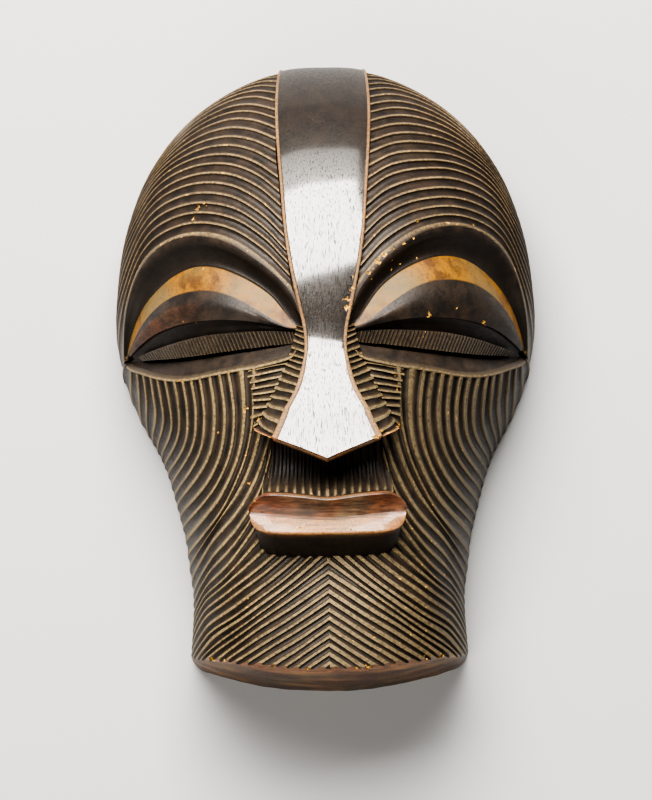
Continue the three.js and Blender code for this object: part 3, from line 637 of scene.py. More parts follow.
def eye_cutter(side):
    last = len(EYE_A) - 1
    a = between(EYE_A, np.linspace(0, last, last * EYE_COLUMN_STEPS + 1))
    depth = eye(EYE_DEPTH, a)
    b_rows, h_rows = [], []
    for first, second, share, drop, deep in EYE_SECTION:
        start = eye_line(first, a, side)
        b_rows.append(start + (eye_line(second, a, side) - start) * share)
        h_rows.append(-drop - deep * depth)
    section = np.array([b_rows, h_rows]).transpose(1, 0, 2)
    pieces, places = [], []
    for first, last, steps in EYE_STRETCHES:
        t = np.linspace(first, last, steps + 1)
        keep = t if last == EYE_STRETCHES[-1][1] else t[:-1]
        pieces.append(curve(np.arange(first, last + 1), section[first:last + 1], keep))
        places.append(keep)
    rows = np.concatenate(pieces)
    place = np.concatenate(places)
    grid = xyz(a, rows[:, 0], rows[:, 1])
    place = place[:, None]
    ochre = within(place, OCHRE_ROWS)
    # Painted shade in the hollow under the brow and under the lid, down to the slit
    dark = np.interp(place, *HOLLOW_SHADE) + LID_SHADE * within(place, LID_SHADE_ROWS)
    red = LID_RED * within(place, LID_RED_ROWS) * rise(a, *LID_RED_A) * (side < 0)
    return sided(sunk(grid, -EYE_CUT_LIFT), grid, side, ochre=ochre, dark=dark, red=red)


def lid_rim(side):
    """Narrow raised rim along the lower lid, where the cheek's grooves start."""
    a = np.linspace(*LID_RIM_A, LID_RIM_STATIONS)
    edge = eye(EYE_LOWER_EDGE, a)
    grid = np.array([xyz(a, edge + up, h) for up, h, _ in LID_RIM])
    return slab(grid, side, THICK_SKIN, ridge=np.array([[mark] for _, _, mark in LID_RIM]))


def slit_cutter():
    a = np.array(SLIT_A, float)
    gap = np.where((a == a[0]) | (a == a[-1]), SLIT_END_GAP, 0)
    top = eye(EYE_SLIT_TOP, a) - gap
    low = eye(EYE_SLIT_LOW, a) + gap
    grid = xyz(a[:, None], np.stack([top, low], 1), float(SLIT_TOP))
    # Marked dark: painted shade on the slit's walls
    return both(grid, sunk(grid, SLIT_REACH), dark=1)


def lashes(side):
    guides = []
    for a in LASH_A:
        k, top, low = (float(eye(line, a)) for line in (EYE_DEPTH, EYE_LASH_TOP, EYE_SLIT_TOP))
        height = -LASH_DROP - LASH_DEPTH * k
        guides.append([(a, top, height), (a - LASH_LEAN * k, low, height - LASH_SLOPE * k)])
    grid, ridge = grooved(guides, LASH_RIDGES, stations=5, depth=LASH_GROOVE, crests=0.15, leans=0.4)
    # Marked dark: painted shade under the lid's overhang
    return slab(grid, side, THICK_SKIN, ridge=0.76 * ridge, dark=0.3)


def band_row(half_width, crown, place, steps=10):
    """One row across the band; place makes a point of a distance from the midline and a lift."""
    half = [(half_width - inward, lift) for inward, lift in BAND_EDGE]
    inner = half[-1][0]
    middle = [(inner * (1 - 2 * k / steps), 0) for k in range(1, steps)]
    row = half + middle + [(-a, lift) for a, lift in reversed(half)]
    return [place(a, lift + crown * (1 - (a / half_width) ** 2)) for a, lift in reversed(row)]


def band():
    corner_a, corner_b, corner_h = NOSE_CORNER
    up, wide, high = zip(*reversed(BAND))
    rows = []
    for b in np.concatenate([np.linspace(*span) for span in BAND_ROWS]):
        w = float(curve(up, wide, b))
        h = float(curve(up, high, b))
        rows.append(band_row(w, BAND_CROWN, lambda a, lift: (a, b, h + lift)))
    last_b, last_w, last_h = BAND[-1]

    def tip(s, a, lift):
        k = 1 - abs(a) / (last_w + (corner_a - last_w) * s)
        end_b = corner_b + (NOSE_TIP[1] - corner_b) * k
        end_h = corner_h + (NOSE_TIP[2] - corner_h) * k
        return (a, last_b + (end_b - last_b) * s, last_h + (end_h - last_h) * s + lift)

    for s in np.linspace(0, 1, TIP_ROWS + 1)[1:]:
        w = last_w + (corner_a - last_w) * s
        rows.append(band_row(w, BAND_CROWN * (1 - s), lambda a, lift: tip(s, a, lift)))
    bevel = [[(a, b - down, h - drop) for a, b, h in rows[-1]] for down, drop, _ in NOSE_BEVEL]
    top = np.array(rows + bevel)
    bottom = sunk(top, SKIN)
    bottom[-1, :, 1] += NOSE_UNDERCUT
    count = len(BAND_EDGE) - 1
    edges = np.r_[0:count, -count:0]
    worn = len(NOSE_BEVEL)
    dull_from, dull_to = CROWN_DULL
    polish = np.maximum(rise(top[:, :1, 1], dull_to, dull_from), CROWN_POLISH) * np.ones(top.shape[:2])
    polish[:, edges] = 0
    polish[-worn:] = 0
    ridge = np.where(polish == 0, BAND_EDGE_RIDGE, 0.0)
    ridge[-worn:] = [[mark] for _, _, mark in NOSE_BEVEL]
    red = np.zeros(top.shape[:2])
    red[:, edges] = BAND_EDGE_RED
    red[-worn - 1:-1] = 1
    dark = np.where(ridge == 0, BAND_DARK, 0.0)
    # Painted shade on the underside of the nose's tip
    dark[-1] = 1
    return block(point(top), point(bottom), polish=polish, ridge=ridge, red=red, dark=dark)


def rib_face(start, end, ribs, begin, drops):
    """Ribs between two lines of the nose's side; drops lowers each end of a rib."""
    last = len(start) - 1
    at = np.linspace(begin, last, RIB_GUIDES)
    near, far = (between(line, np.minimum(at + drop, last)) for line, drop in zip((start, end), drops))
    guides = [[tuple(p), tuple((p + q) / 2), tuple(q)] for p, q in zip(near, far)]
    spans = [ribs / (RIB_GUIDES - 1)] * (RIB_GUIDES - 1)
    return grooved(guides, spans, stations=7, depth=NOSE_GROOVE, crests=0.11, leans=0.2, wander=0.05)


def nose_sides():
    edge, strip_line, foot = (np.array(line, float) for line in (NOSE_EDGE, NOSE_STRIP, NOSE_FOOT))
    across = np.array([1.0, 0, 0])
    set_in = NOSE_SET_IN * across
    wood = np.stack([edge - NOSE_UNDER_BAND * across, edge - set_in, strip_line - set_in, foot - set_in], 1)
    wood -= np.array([0, 0, NOSE_BASE_DROP])
    wood_bottom = sunk(wood, SKIN)
    wood_bottom[-1, :, 1] += NOSE_BACK
    # Marked dark: painted shade on the wood under the nose's edges
    parts = both(wood, wood_bottom, dark=0.6)
    faces = [
        (edge - NOSE_LAP / 2 * across, strip_line + NOSE_LAP * across, STRIP_RIBS, 0, (RIB_DROP, 0)),
        (strip_line - NOSE_LAP * across, foot, TRIANGLE_RIBS, TRIANGLE_FROM, (0, RIB_DROP)),
    ]
    for face in faces:
        grid, ridge = rib_face(*face)
        low = grid.copy()
        low[..., 1] += NOSE_FACE_LEAN * (grid[..., 2] + NOSE_FACE_DEPTH)
        low[..., 2] = -NOSE_FACE_DEPTH
        red = np.zeros((len(grid), 1))
        red[-RIB_RED_ROWS:] = 1
        parts += both(grid, low, ridge=ridge, red=red)
    return parts


def lip_rows(start, end, lip):
    """Rows between two points (b, h) of the mouth's section, on a bulge or in a hollow."""
    shares, bulge = lip
    return [(start[0] + (end[0] - start[0]) * s, start[1] + (end[1] - start[1]) * s
             + bulge * math.sin(math.pi * s)) for s in shares]


def mouth():
    """Columns across the block, each from over the top edge, across both lips, to the underside."""
    inset = MOUTH_EDGE[-1][0]
    columns = []
    for a, top, valley, low in between(MOUTH, np.linspace(0, len(MOUTH) - 1, MOUTH_COLUMNS)):
        end = max(0, (a - MOUTH_ROUND_FROM) / MOUTH_ROUND_WIDTH)
        high, dip, sill = (h - d * end for h, d in zip(MOUTH_HEIGHT, MOUTH_END_DROP))
        section = [(top - inward, high - down) for inward, down in MOUTH_EDGE]
        section += lip_rows((top - inset, high), (valley, dip), UPPER_LIP)
        valley_row = len(section) + 1
        section += [(valley, dip)] + lip_rows((valley, dip), (low + inset, sill), LOWER_LIP)
        section += [(low + inward, sill - down) for inward, down in reversed(MOUTH_EDGE)]
        columns.append([(a, b, h) for b, h in section])
    ends = [np.array(columns[0]) + np.array(shift) for shift in MOUTH_ENDS]
    side = np.array(ends + columns)
    top = np.concatenate([side, mirror(side[:-1])[::-1]])
    over, below = (wall + np.array(shift) for wall, shift in zip((top[:, :1], top[:, -1:]), MOUTH_WALLS))
    top = np.concatenate([over, top, below], axis=1)
    rows = np.arange(top.shape[1])
    bottom = top.copy()
    bottom[..., 0] *= MOUTH_SPREAD
    bottom[..., 1] += MOUTH_FOOT[0] + (MOUTH_FOOT[1] - MOUTH_FOOT[0]) * np.linspace(0, 1, len(rows))
    bottom[..., 2] = -SKIN
    marks = {}
    for name, (upper, lower, _) in MOUTH_MARKS.items():
        marks[name] = np.tile(np.where(rows <= valley_row, float(upper), float(lower)), (len(top), 1))
    marks["ridge"][:, 1:3], marks["ridge"][:, -4:-2] = MOUTH_EDGE_RIDGES
    for name, (_, _, border) in MOUTH_MARKS.items():
        marks[name][:, [0, -1]] = border
        marks[name][[0, -1]] = border
    piece = block(point(top), point(bottom), **marks)
    # Painted shade on the block's underside
    underside = piece.marks[len(piece.marks) // 2:]
    underside[:] = 0
    underside[:, MARKS.index("dark")] = MOUTH_MARKS["dark"][2]
    return piece


def upper_lip():
    mouth_a, mouth_top, _, _ = zip(*reversed(MOUTH))
    w, over, h, drop = LIP_EDGE
    guides = []
    for k in LIP_A:
        edge = float(curve(mouth_a, mouth_top, abs(w * k))) + over
        rows = LIP_ROWS + [(w, edge, h, drop)]
        guides.append([(row[0] * k, row[1], row[2] - row[3] * k ** 4) for row in rows])
    grid, ridge = grooved(guides, LIP_RIDGES, LIP_STATIONS, LIP_GROOVE, LIP_CREST, leans=0, wander=0.12)
    near = np.clip(np.linspace(*LIP_MARK_SHARE, LIP_STATIONS)[None, :], 0, 1)
    # Painted shadow of the nose: the lip's upper part is marked dark and loses its pale ridge lines
    return block(point(grid), point(sunk(grid, SKIN)), ridge=ridge * near, dark=1 - near)


def chin_end(x, inset, z):
    """How far down the chin reaches: a shallow bow with rounded corners."""
    into = np.clip(np.abs(x) - (CHIN_CORNER_X - CHIN_CORNER_RADIUS), 0, CHIN_CORNER_RADIUS)
    corner = CHIN_CORNER_RADIUS - np.sqrt(CHIN_CORNER_RADIUS ** 2 - into ** 2)
    bow = CHIN_BOW * (x / CHIN_BOW_HALF_WIDTH) ** 2
    return CHIN_Y + inset - CHIN_LEAN * z / CHIN_LEAN_HEIGHT + bow + corner


def chin_columns():
    """Places across the chin's end: along it, round its corner and beyond."""
    corner = CHIN_CORNER_X - CHIN_CORNER_RADIUS * (1 - np.sin(np.linspace(0, QUARTER, 9)))
    beyond = [84, 100]
    half = np.concatenate([np.linspace(0, corner[0], 34)[1:-1], corner, beyond])
    return np.concatenate([-half[::-1], [0], half])


def uneven(x, z, size):
    """Smooth unevenness between about -1 and 1, with bumps of roughly the given size."""
    phase = rng.uniform(0, 2 * math.pi, 6)
    first = np.sin(x / size + phase[0] + 1.3 * np.sin(z / size + phase[1]))
    second = np.sin(z / size * 1.7 + phase[2] + 1.1 * np.sin(x / size * 0.8 + phase[3]))
    third = np.sin((x + z) / size * 2.3 + phase[4]) * np.sin((x - z) / size * 1.9 + phase[5])
    return 0.4 * first + 0.35 * second + 0.25 * third


def bumpy(values, x, z, bumps):
    for size, depth in bumps:
        values = values + depth * uneven(x, z, size)
    return values


def chin_cutter(inset):
    x, z = np.meshgrid(chin_columns(), CHIN_ROWS)
    y = bumpy(chin_end(x, inset, z), x, z, CHIN_UNEVEN)
    share = rise(z, *CHIN_RED_FROM)
    foot, gain, patches, size = CHIN_WEAR
    ridge = foot + gain * share + patches * uneven(x, z, size)
    return block(xyz(x, y, z), xyz(x, FAR_Y, z), red=0.5 + 0.5 * share, ridge=ridge)


def chin_bevel():
    """Wedge that takes the sharp front edge off the chin."""
    x = chin_columns()
    y = chin_end(x, 0, CHIN_LEAN_HEIGHT)
    rho = np.hypot(x, y - HUB_Y) / rim_radius(np.arctan2(y - HUB_Y, x))
    z = crest(y) * dome(rho)
    back, down = CHIN_BEVEL
    wear = bumpy(1, x, 0 * x, BEVEL_UNEVEN)

    def rows(reach):
        near = xyz(x, y + back * reach * wear, z + down * (reach - 1) * wear)
        return np.stack([near, xyz(x, FAR_Y, near[:, 2])], axis=1)

    return block(*map(rows, BEVEL_REACH), red=1, ridge=0.78, polish=0.35)


def tree_of(points):
    tree = KDTree(len(points))
    for i, p in enumerate(points):
        tree.insert(p, i)
    tree.balance()
    return tree


def dome_block(rings, spokes, place, **marks):
    """Closed dome of rings and spokes about the hub, carried straight down below z = 0."""
    angle = np.linspace(0, 2 * math.pi, spokes, endpoint=False)
    grid = [place(0, angle[:1])] + [place(i / rings, angle) for i in range(1, rings + 1)]
    foot = grid[-1].copy()
    foot[:, 2] = -FOOT_DROP
    vertices = np.concatenate(grid + [foot, [[0, HUB_Y, -FOOT_DROP]]])
    faces = []
    for k in range(spokes):
        n = (k + 1) % spokes
        faces.append((0, 1 + k, 1 + n))
        for i in range(rings):
            inner = 1 + i * spokes
            outer = inner + spokes
            faces.append((inner + k, outer + k, outer + n, inner + n))
        faces.append((len(vertices) - 1, 1 + rings * spokes + n, 1 + rings * spokes + k))
    full = {name: np.full(len(vertices), float(v)) for name, v in marks.items()}
    return Block(vertices, faces, full)


def core():
    inside_rim = 0.999

    def place(t, angle):
        reach = t * rim_radius(angle) * QUARTER * inside_rim
        a, b = reach * np.cos(angle), HUB_Y + reach * np.sin(angle)
        return point(xyz(a, b, -CORE_DROP))

    return dome_block(rings=16, spokes=96, place=place)


def hollow():
    def place(t, angle):
        r = rim_radius(angle) - WALL_RIM
        rho = np.sin(t * QUARTER)
        y = HUB_Y + rho * r * np.sin(angle)
        return xyz(rho * r * np.cos(angle), y, (crest(y) - WALL_FRONT) * dome(rho))

    inside = dome_block(rings=48, spokes=150, place=place, raw=1)
    where = inside.vertices * np.array([1, GOUGE_SHORTER, 1])
    tree = tree_of(where[rng.choice(len(where), GOUGES, replace=False)])
    away = np.array([tree.find(p)[2] for p in where])
    outward = inside.vertices - np.array([0, HUB_Y, 0])
    outward /= np.linalg.norm(outward, axis=1, keepdims=True)
    inside.vertices += outward * (GOUGE_DEPTH * np.maximum(1 - (away / GOUGE_REACH) ** 2, 0))[:, None]
    return inside


def under():
    size = 450.0
    corners = np.array([[(-size, -size, 0), (-size, size, 0)], [(size, -size, 0), (size, size, 0)]])
    return block(corners, corners - np.array([0, 0, size]), raw=1)


# Joining and cutting

def scoop(a, b, size, tree):
    """Shallow ragged scoop in the surface that lies over (a, b)."""
    high = 45
    start, foot = point(np.array([[a, b, high], [a, b, 0]]))
    drop = Vector(foot - start).normalized()
    reach = tree.ray_cast(Vector(start * MM), drop)[3]
    surface = high - reach / MM
    u, v = np.meshgrid(np.linspace(-1, 1, CHIP_STEPS), np.linspace(-1, 1, CHIP_STEPS))
    x = u * np.sqrt(1 - v * v / 2)
    y = v * np.sqrt(1 - u * u / 2)
    angle = np.arctan2(y, x)
    phase = rng.uniform(0, 2 * math.pi, 3)
    wide, fine = CHIP_RAGGED
    ragged = size * (1 + wide * np.sin(2 * angle + phase[0]) + fine * np.sin(5 * angle + phase[1]))
    turn = phase[2]
    along_it = x * ragged
    across_it = y * ragged * rng.uniform(*CHIP_NARROW)
    low = surface + size * (CHIP_RISE - CHIP_DEPTH * (1 - x * x - y * y))
    low += size * CHIP_ROUGH * rng.normal(size=low.shape)
    grid = xyz(
        a + along_it * math.cos(turn) - across_it * math.sin(turn),
        b + along_it * math.sin(turn) + across_it * math.cos(turn),
        low,
    )
    top = grid.copy()
    top[..., 2] = surface + size
    return block(point(top), point(grid), bare=1)


def chin_edge(x):
    """The face's (a, b) above the end of the chin."""
    want = float(chin_end(np.array(x), 0, CHIN_LEAN_HEIGHT)) + 1
    b = CHIN_Y
    a = x
    for _ in range(12):
        at = base(np.array(a), np.array(b))
        a += x - float(at[0])
        b += want - float(at[1])
    return a, b


def chips(body):
    """All the chips as one object, cut from the carving in one step."""
    tree = BVHTree.FromObject(body, bpy.context.evaluated_depsgraph_get())
    places = CHIPS + [(*chin_edge(x), size) for x, size in CHIN_CHIPS]
    places += [(a + size * rng.normal(), b + size * rng.normal(), size * rng.uniform(*CRUMB_SHARE))
               for a, b, size in places if size > CRUMBS_FROM for _ in range(2)]
    pieces = [scoop(a, b, size, tree) for a, b, size in places]
    cuts = as_object(pieces[0], "cuts")
    combine(cuts, pieces[1:], "UNION")
    return cuts


# Every block in the order of its object; its material's name holds that number
sources = []


def placed(name, data):
    obj = bpy.data.objects.new(name, data)
    bpy.context.scene.collection.objects.link(obj)
    return obj


def as_object(piece, name):
    mesh = bpy.data.meshes.new(name)
    mesh.from_pydata((piece.vertices * MM).tolist(), [], piece.faces)
    mesh.materials.append(bpy.data.materials.new(f"part_{len(sources)}"))
    sources.append(piece)
    return placed(name, mesh)


def apply_boolean(body, tool, operation):
    modifier = body.modifiers.new("join", "BOOLEAN")
    modifier.solver = "MANIFOLD"
    modifier.operation = operation
    modifier.material_mode = "TRANSFER"
    modifier.object = tool
    graph = bpy.context.evaluated_depsgraph_get()
    mesh = bpy.data.meshes.new_from_object(body.evaluated_get(graph))
    body.modifiers.clear()
    old = body.data
    body.data = mesh
    bpy.data.meshes.remove(old)


def combine(body, pieces, operation):
    for piece in pieces:
        tool = as_object(piece, "tool")
        apply_boolean(body, tool, operation)
        mesh = tool.data
        bpy.data.objects.remove(tool)
        bpy.data.meshes.remove(mesh)


def carve():
    body = as_object(core(), "carved_mask")
    combine(body, [field(side) for field in (forehead, lower_face, eye_blank) for side in SIDES], "UNION")
    combine(body, [eye_cutter(side) for side in SIDES], "DIFFERENCE")
    fringe = [part(side) for part in (lid_rim, lashes) for side in SIDES]
    combine(body, fringe + nose_sides() + [band(), upper_lip(), mouth()], "UNION")
    inside = as_object(hollow(), "inside")
    combine(inside, [chin_cutter(CHIN_WALL)], "DIFFERENCE")
    apply_boolean(body, inside, "DIFFERENCE")
    bpy.data.objects.remove(inside)
    combine(body, [chin_cutter(0), chin_bevel()] + slit_cutter() + [under()], "DIFFERENCE")
    cuts = chips(body)
    apply_boolean(body, cuts, "DIFFERENCE")
    bpy.data.objects.remove(cuts)
    return body


def values_of(collection, field, width=3, kind=float):
    data = np.empty(len(collection) * width, dtype=kind)
    collection.foreach_get(field, data)
    return data.reshape(-1, width)


def seat(obj):
    """Moves the carving onto the place that the solid has in the frame."""
    mesh = obj.data
    co = values_of(mesh.vertices, "co")
    low, high = (np.array(corner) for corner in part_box("mask"))
    shift = np.array([(low[0] + high[0]) / 2, low[1] - co[:, 1].min(), low[2] - co[:, 2].min()])
    mesh.vertices.foreach_set("co", (co + shift).ravel())
    mesh.update()
    return shift


def read_marks(obj, shift):
    """Each face's corners take the marks of the nearest vertex of the block it was cut from."""
    mesh = obj.data
    co = (values_of(mesh.vertices, "co") - shift) / MM
    numbers = [int(material.name.split("_")[1]) for material in mesh.materials]
    fields = ("material_index", "loop_total")
    face_part, totals = (values_of(mesh.polygons, field, 1, int)[:, 0] for field in fields)
    corner_vertex = values_of(mesh.loops, "vertex_index", 1, int)[:, 0]
    corner_part = np.repeat(face_part, totals)
    found = np.zeros((len(mesh.loops), len(MARKS)))
    for slot, number in enumerate(numbers):
        piece = sources[number]
        tree = tree_of(piece.vertices.tolist())
        corners = np.flatnonzero(corner_part == slot)
        vertices, back = np.unique(corner_vertex[corners], return_inverse=True)
        nearest = [tree.find(p)[1] for p in co[vertices].tolist()]
        if nearest:
            found[corners] = piece.marks[nearest][back]
    return found


def spread(values, edges):
    """Averages a value per vertex with its neighbours'."""
    total = values.copy()
    count = np.ones(len(values))
    for i, j in ((0, 1), (1, 0)):
        np.add.at(total, edges[:, i], values[edges[:, j]])
        np.add.at(count, edges[:, i], 1)
    return total / count


def sharpness(mesh, edges):
    """Above 0 on outward edges and below 0 in hollows."""
    co = values_of(mesh.vertices, "co")
    normal = values_of(mesh.vertex_normals, "vector")
    step = co[edges[:, 1]] - co[edges[:, 0]]
    step /= np.maximum(np.linalg.norm(step, axis=1, keepdims=True), 1e-9)
    total = np.zeros(len(co))
    count = np.zeros(len(co))
    np.add.at(total, edges[:, 0], -np.einsum("ij,ij->i", normal[edges[:, 0]], step))
    np.add.at(total, edges[:, 1], np.einsum("ij,ij->i", normal[edges[:, 1]], step))
    np.add.at(count, edges.ravel(), 1)
    return total / np.maximum(count, 1)


def write_marks(mesh, domain, columns):
    for name, values in columns.items():
        attribute = mesh.attributes.new(name, "FLOAT", domain)
        attribute.data.foreach_set("value", np.asarray(values, dtype=np.float32))


SHARP_ANGLE = 28


def make_mask():
    obj = carve()
    shift = seat(obj)
    marks = read_marks(obj, shift)
    mesh = obj.data
    edges = values_of(mesh.edges, "vertices", 2, int)
    write_marks(mesh, "CORNER", {name: marks[:, i] for i, name in enumerate(MARKS)})
    write_marks(mesh, "POINT", {"edge": spread(sharpness(mesh, edges), edges)})
    for material in list(mesh.materials):
        bpy.data.materials.remove(material)
    mesh.materials.clear()
    mesh.shade_smooth()
    mesh.set_sharp_from_angle(angle=math.radians(SHARP_ANGLE))
    return obj


mask = make_mask()


# Finish

class Nodes:
    """Short calls for building a material's nodes."""

    def __init__(self, name):
        self.material = bpy.data.materials.new(name)
        self.material.use_nodes = True
        self.tree = self.material.node_tree
        self.tree.nodes.clear()

    def add(self, kind, inputs=(), **settings):
        node = self.tree.nodes.new(kind)
        for key, value in settings.items():
            setattr(node, key, value)
        for key, value in dict(inputs).items():
            self.feed(node.inputs[key], value)
        return node

    def feed(self, socket, value):
        if isinstance(value, bpy.types.NodeSocket):
            self.tree.links.new(value, socket)
        else:
            socket.default_value = value

    def math(self, operation, a, b=0.0, clamp=False):
        return self.add("ShaderNodeMath", {0: a, 1: b}, operation=operation, use_clamp=clamp).outputs[0]

    def times(self, a, b):
        return self.math("MULTIPLY", a, b)

    def scaled(self, value, low, high, to_low=0.0, to_high=1.0):
        inputs = {"Value": value, "From Min": low, "From Max": high, "To Min": to_low, "To Max": to_high}
        return self.add("ShaderNodeMapRange", inputs).outputs["Result"]

    def mix(self, share, a, b):
        node = self.add("ShaderNodeMix", data_type="RGBA")
        self.feed(node.inputs["Factor"], share)
        for socket, value in (("A", a), ("B", b)):
            target = next(s for s in node.inputs if s.name == socket and s.type == "RGBA")
            self.feed(target, (*value, 1) if isinstance(value, tuple) else value)
        return next(s for s in node.outputs if s.type == "RGBA")

    def noise(self, vector, scale, detail=3.0, roughness=0.55):
        inputs = {"Vector": vector, "Scale": scale, "Detail": detail, "Roughness": roughness}
        return self.add("ShaderNodeTexNoise", inputs).outputs[0]

    def mark(self, name):
        return self.add("ShaderNodeAttribute", attribute_name=name).outputs["Fac"]

    def stretched(self, vector, scale):
        return self.add("ShaderNodeMapping", {"Vector": vector, "Scale": scale}).outputs["Vector"]

    def surface(self, inputs):
        """Ends the material in one shader with these inputs."""
        shader = self.add("ShaderNodeBsdfPrincipled", inputs)
        self.add("ShaderNodeOutputMaterial", {"Surface": shader.outputs[0]})
        return self.material


BLACK = (0.0095, 0.007, 0.0056)
BROWN = (0.028, 0.0185, 0.0125)
RED_BROWN = (0.030, 0.016, 0.011)
FLANK_BROWN = (0.031, 0.022, 0.0155)
FLANK_OLIVE = (0.060, 0.045, 0.027)
TAN = (0.195, 0.136, 0.068)
# Olive of the worn ridge tops, painted lighter on the lit left side and darker on the shaded right side
OLIVE_LIT_LEFT = (0.235, 0.172, 0.085)
OLIVE_SHADED_RIGHT = (0.14, 0.106, 0.057)
OCHRE = (0.195, 0.088, 0.009)
OCHRE_BROWN = (0.085, 0.036, 0.008)
OCHRE_GREY = (0.12, 0.086, 0.032)
WORN_RED = (0.17, 0.052, 0.02)
WORN_GREY = (0.16, 0.10, 0.055)
WORN_DARK = (0.045, 0.018, 0.010)
# Pale tones of worn red ridge tops, also a painted highlight on the lower lip
WORN_AND_LIT_PINK = (0.42, 0.205, 0.075)
WORN_AND_LIT_TAN = (0.24, 0.12, 0.05)
BARE = (0.52, 0.31, 0.075)
RAW = (0.105, 0.062, 0.033)


def carved_wood():
    n = Nodes("carved_wood")
    scaled, mix, times = n.scaled, n.mix, n.times
    place = n.add("ShaderNodeTexCoord").outputs["Object"]
    grit = n.noise(place, 650, 3)
    patch = n.noise(place, 120, 3)
    broad = n.noise(place, 24, 2)
    grain = n.noise(n.stretched(place, (1900, 90, 900)), 1.0, 3, 0.6)
    pore = n.noise(n.stretched(place, (2300, 210, 1500)), 1.0, 1, 0.4)
    ridge, ochre, polish, red, painted_shade_and_black_wood, raw, bare, sharp = (n.mark(name) for name in MARKS + ("edge",))

    # Patina: black in the cuts, brown where hands have rubbed
    dark = mix(scaled(patch, 0.38, 0.68), BLACK, BROWN)
    dark = mix(scaled(broad, 0.56, 0.7, 0, 0.35), dark, RED_BROWN)

    # Flanks of the ridges are dusty, and their tops are worn pale in a fine line
    axes = n.add("ShaderNodeSeparateXYZ", {"Vector": place}).outputs
    upper = scaled(axes["Y"], -0.02, 0.012)
    flank = mix(upper, FLANK_OLIVE, FLANK_BROWN)
    dust = times(scaled(ridge, 0.05, 0.7), scaled(grit, 0.3, 0.62, 0.35, 1.0))
    colour = mix(dust, dark, flank)
    # Painted light and shade: the worn ridge tops are lighter on the left, the lit side, and darker on the
    # right, the shaded side
    olive_lit_left_shaded_right = mix(scaled(axes["X"], -0.03, 0.04), OLIVE_LIT_LEFT, OLIVE_SHADED_RIGHT)
    line = mix(upper, olive_lit_left_shaded_right, TAN)
    top = scaled(ridge, 0.7, 0.97)
    worn = times(top, scaled(grit, 0.3, 0.6, 0.2, 1.0))
    worn = times(worn, scaled(broad, 0.32, 0.6, 0.45, 1.0))
    colour = mix(worn, colour, line)
    edge = times(scaled(sharp, 0.2, 0.5), scaled(grit, 0.4, 0.66, 0, 0.7))
    colour = mix(edge, colour, TAN)

    # Red-brown wear on the mouth, the nose's edge and the chin's end
    streak = n.noise(n.stretched(place, (75, 950, 600)), 1.0, 3, 0.6)
    wear = mix(scaled(broad, 0.42, 0.6), WORN_RED, WORN_GREY)
    wear = mix(scaled(streak, 0.4, 0.62, 0, 0.85), wear, WORN_DARK)
    colour = mix(times(red, scaled(patch, 0.3, 0.62, 0.35, 0.95)), colour, wear)
    # Pale pink on the worn tops of red wood; on the lower lip it is also a painted highlight where the lip
    # faces the light
    worn_and_lit_tops = times(times(red, top), scaled(grit, 0.3, 0.6, 0.35, 1.0))
    colour = mix(worn_and_lit_tops, colour, mix(scaled(streak, 0.42, 0.64), WORN_AND_LIT_PINK, WORN_AND_LIT_TAN))

    # Ochre on the upper lids
    ochre_tone = mix(scaled(patch, 0.44, 0.64), OCHRE, OCHRE_BROWN)
    ochre_tone = mix(scaled(broad, 0.42, 0.6, 0, 0.75), ochre_tone, OCHRE_GREY)
    ochre_share = times(scaled(ochre, 0.3, 0.6), scaled(grit, 0.26, 0.5, 0.45, 1.0))
    colour = mix(ochre_share, colour, ochre_tone)
    # Painted shade: black where the dark mark stands in hollows, slits and under the lids, nose and mouth;
    # on the band the same mark gives the wood's own black
    colour = mix(times(painted_shade_and_black_wood, 0.7), colour, BLACK)

    # Open pores and fine pale scratches in the polished wood
    pores = times(scaled(pore, 0.6, 0.66), polish)
    colour = mix(pores, colour, BLACK)
    speck = scaled(n.noise(place, 1500, 2), 0.7, 0.78)
    colour = mix(times(speck, 0.4), colour, TAN)
    fleck = times(scaled(n.noise(place, 330, 2), 0.68, 0.72), top)
    colour = mix(times(fleck, 0.7), colour, BARE)

    raw_tone = mix(scaled(grain, 0.3, 0.7), RAW, BROWN)
    colour = mix(raw, colour, raw_tone)
    bare_tone = mix(scaled(grit, 0.35, 0.65), BARE, OCHRE_BROWN)
    colour = mix(bare, colour, bare_tone)

    roughness = scaled(grit, 0.3, 0.7, 0.42, 0.6)
    roughness = n.math("SUBTRACT", roughness, times(polish, 0.14))
    roughness = n.math("ADD", roughness, times(pores, 0.3))
    roughness = n.math("ADD", roughness, times(worn, 0.1))
    matt = n.math("MAXIMUM", raw, bare)
    roughness = n.math("ADD", roughness, times(matt, 0.35), clamp=True)

    relief = n.math("ADD", times(grain, 0.35), times(grit, 0.5))
    relief = n.math("SUBTRACT", relief, times(pores, 0.8))
    bump = n.add("ShaderNodeBump", {"Height": relief, "Strength": 0.4, "Distance": 0.0003})
    coat = times(polish, scaled(pores, 0, 1, 0.9, 0.2))
    return n.surface({
        "Base Color": colour,
        "Roughness": roughness,
        "IOR": 1.5,
        "Specular IOR Level": 0.32,
        "Coat Weight": coat,
        "Coat Roughness": 0.11,
        "Coat IOR": 1.8,
        "Normal": bump.outputs["Normal"],
    })


mask.data.materials.append(carved_wood())
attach(mask, "root")
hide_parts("mask")


# Floor, light and camera

FLOOR_COLOR = (0.353, 0.36, 0.372)
# Photograph's frame in pixels, and the lens and the principal point that were found in it
FRAME_WIDTH = 652
FRAME_HEIGHT = 800
FOCAL_PIXELS = 3620
PRINCIPAL_ROW = 366.5
SENSOR_WIDTH = 36
CAMERA_DISTANCE = 2.0
CAMERA_TILT = 12
CAMERA_ROLL = -0.75
CAMERA_TARGET = (0, -0.0029, 0.060)

LIGHT_COLOR = (1.0, 0.95, 0.88)
LIGHT_AIM = Vector((0, 0, 0.1))


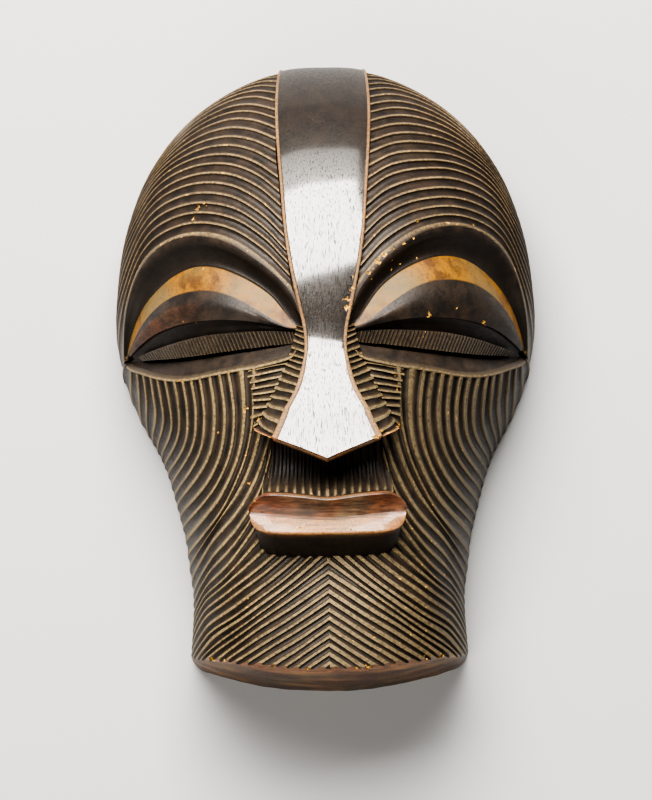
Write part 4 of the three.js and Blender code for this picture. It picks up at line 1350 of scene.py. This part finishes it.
def make_floor():
    mesh = bpy.data.meshes.new("floor")
    size = 3.0
    corners = [(-size, -size, 0), (size, -size, 0), (size, size, 0), (-size, size, 0)]
    mesh.from_pydata(corners, [], [(0, 1, 2, 3)])
    mesh.materials.append(Nodes("floor").surface({"Base Color": (*FLOOR_COLOR, 1), "Roughness": 0.75}))
    obj = placed("floor", mesh)


def make_light(name, place, size, power):
    light = bpy.data.lights.new(name, "AREA")
    light.shape = "RECTANGLE"
    light.size, light.size_y = size
    light.energy = power
    light.color = LIGHT_COLOR
    obj = placed(name, light)
    obj.location = place
    obj.rotation_euler = (LIGHT_AIM - Vector(place)).to_track_quat("-Z", "Y").to_euler()


def make_world():
    world = bpy.data.worlds.new("studio")
    world.use_nodes = True
    background = world.node_tree.nodes["Background"]
    background.inputs["Color"].default_value = (0.9, 0.95, 1.0, 1)
    background.inputs["Strength"].default_value = 0.05
    bpy.context.scene.world = world
    bpy.context.scene.view_settings.look = "AgX - High Contrast"


def make_camera():
    """Looks down at the face from the chin's side, as the photograph does."""
    tilt = Matrix.Rotation(math.radians(CAMERA_TILT), 4, "X")
    roll = Matrix.Rotation(math.radians(CAMERA_ROLL), 4, "Z")
    pitch = math.atan((FRAME_HEIGHT / 2 - PRINCIPAL_ROW) / FOCAL_PIXELS)
    place = Vector(CAMERA_TARGET) + tilt @ Vector((0, 0, CAMERA_DISTANCE))
    camera = bpy.data.cameras.new("camera")
    camera.sensor_fit = "HORIZONTAL"
    camera.sensor_width = SENSOR_WIDTH
    camera.lens = SENSOR_WIDTH * FOCAL_PIXELS / FRAME_WIDTH
    camera.clip_end = 20
    obj = placed("camera", camera)
    obj.matrix_world = Matrix.Translation(place) @ tilt @ roll @ Matrix.Rotation(-pitch, 4, "X")
    bpy.context.scene.camera = obj


make_floor()
make_light("softbox", (-0.16, 0.84, 1.52), size=(1.5, 1.1), power=122)
make_light("far_softbox", (-0.16, 1.36, 1.02), size=(1.3, 0.5), power=10)
make_light("fill", (-0.6, -1.15, 1.4), size=(1.2, 1.0), power=24)
make_world()
make_camera()
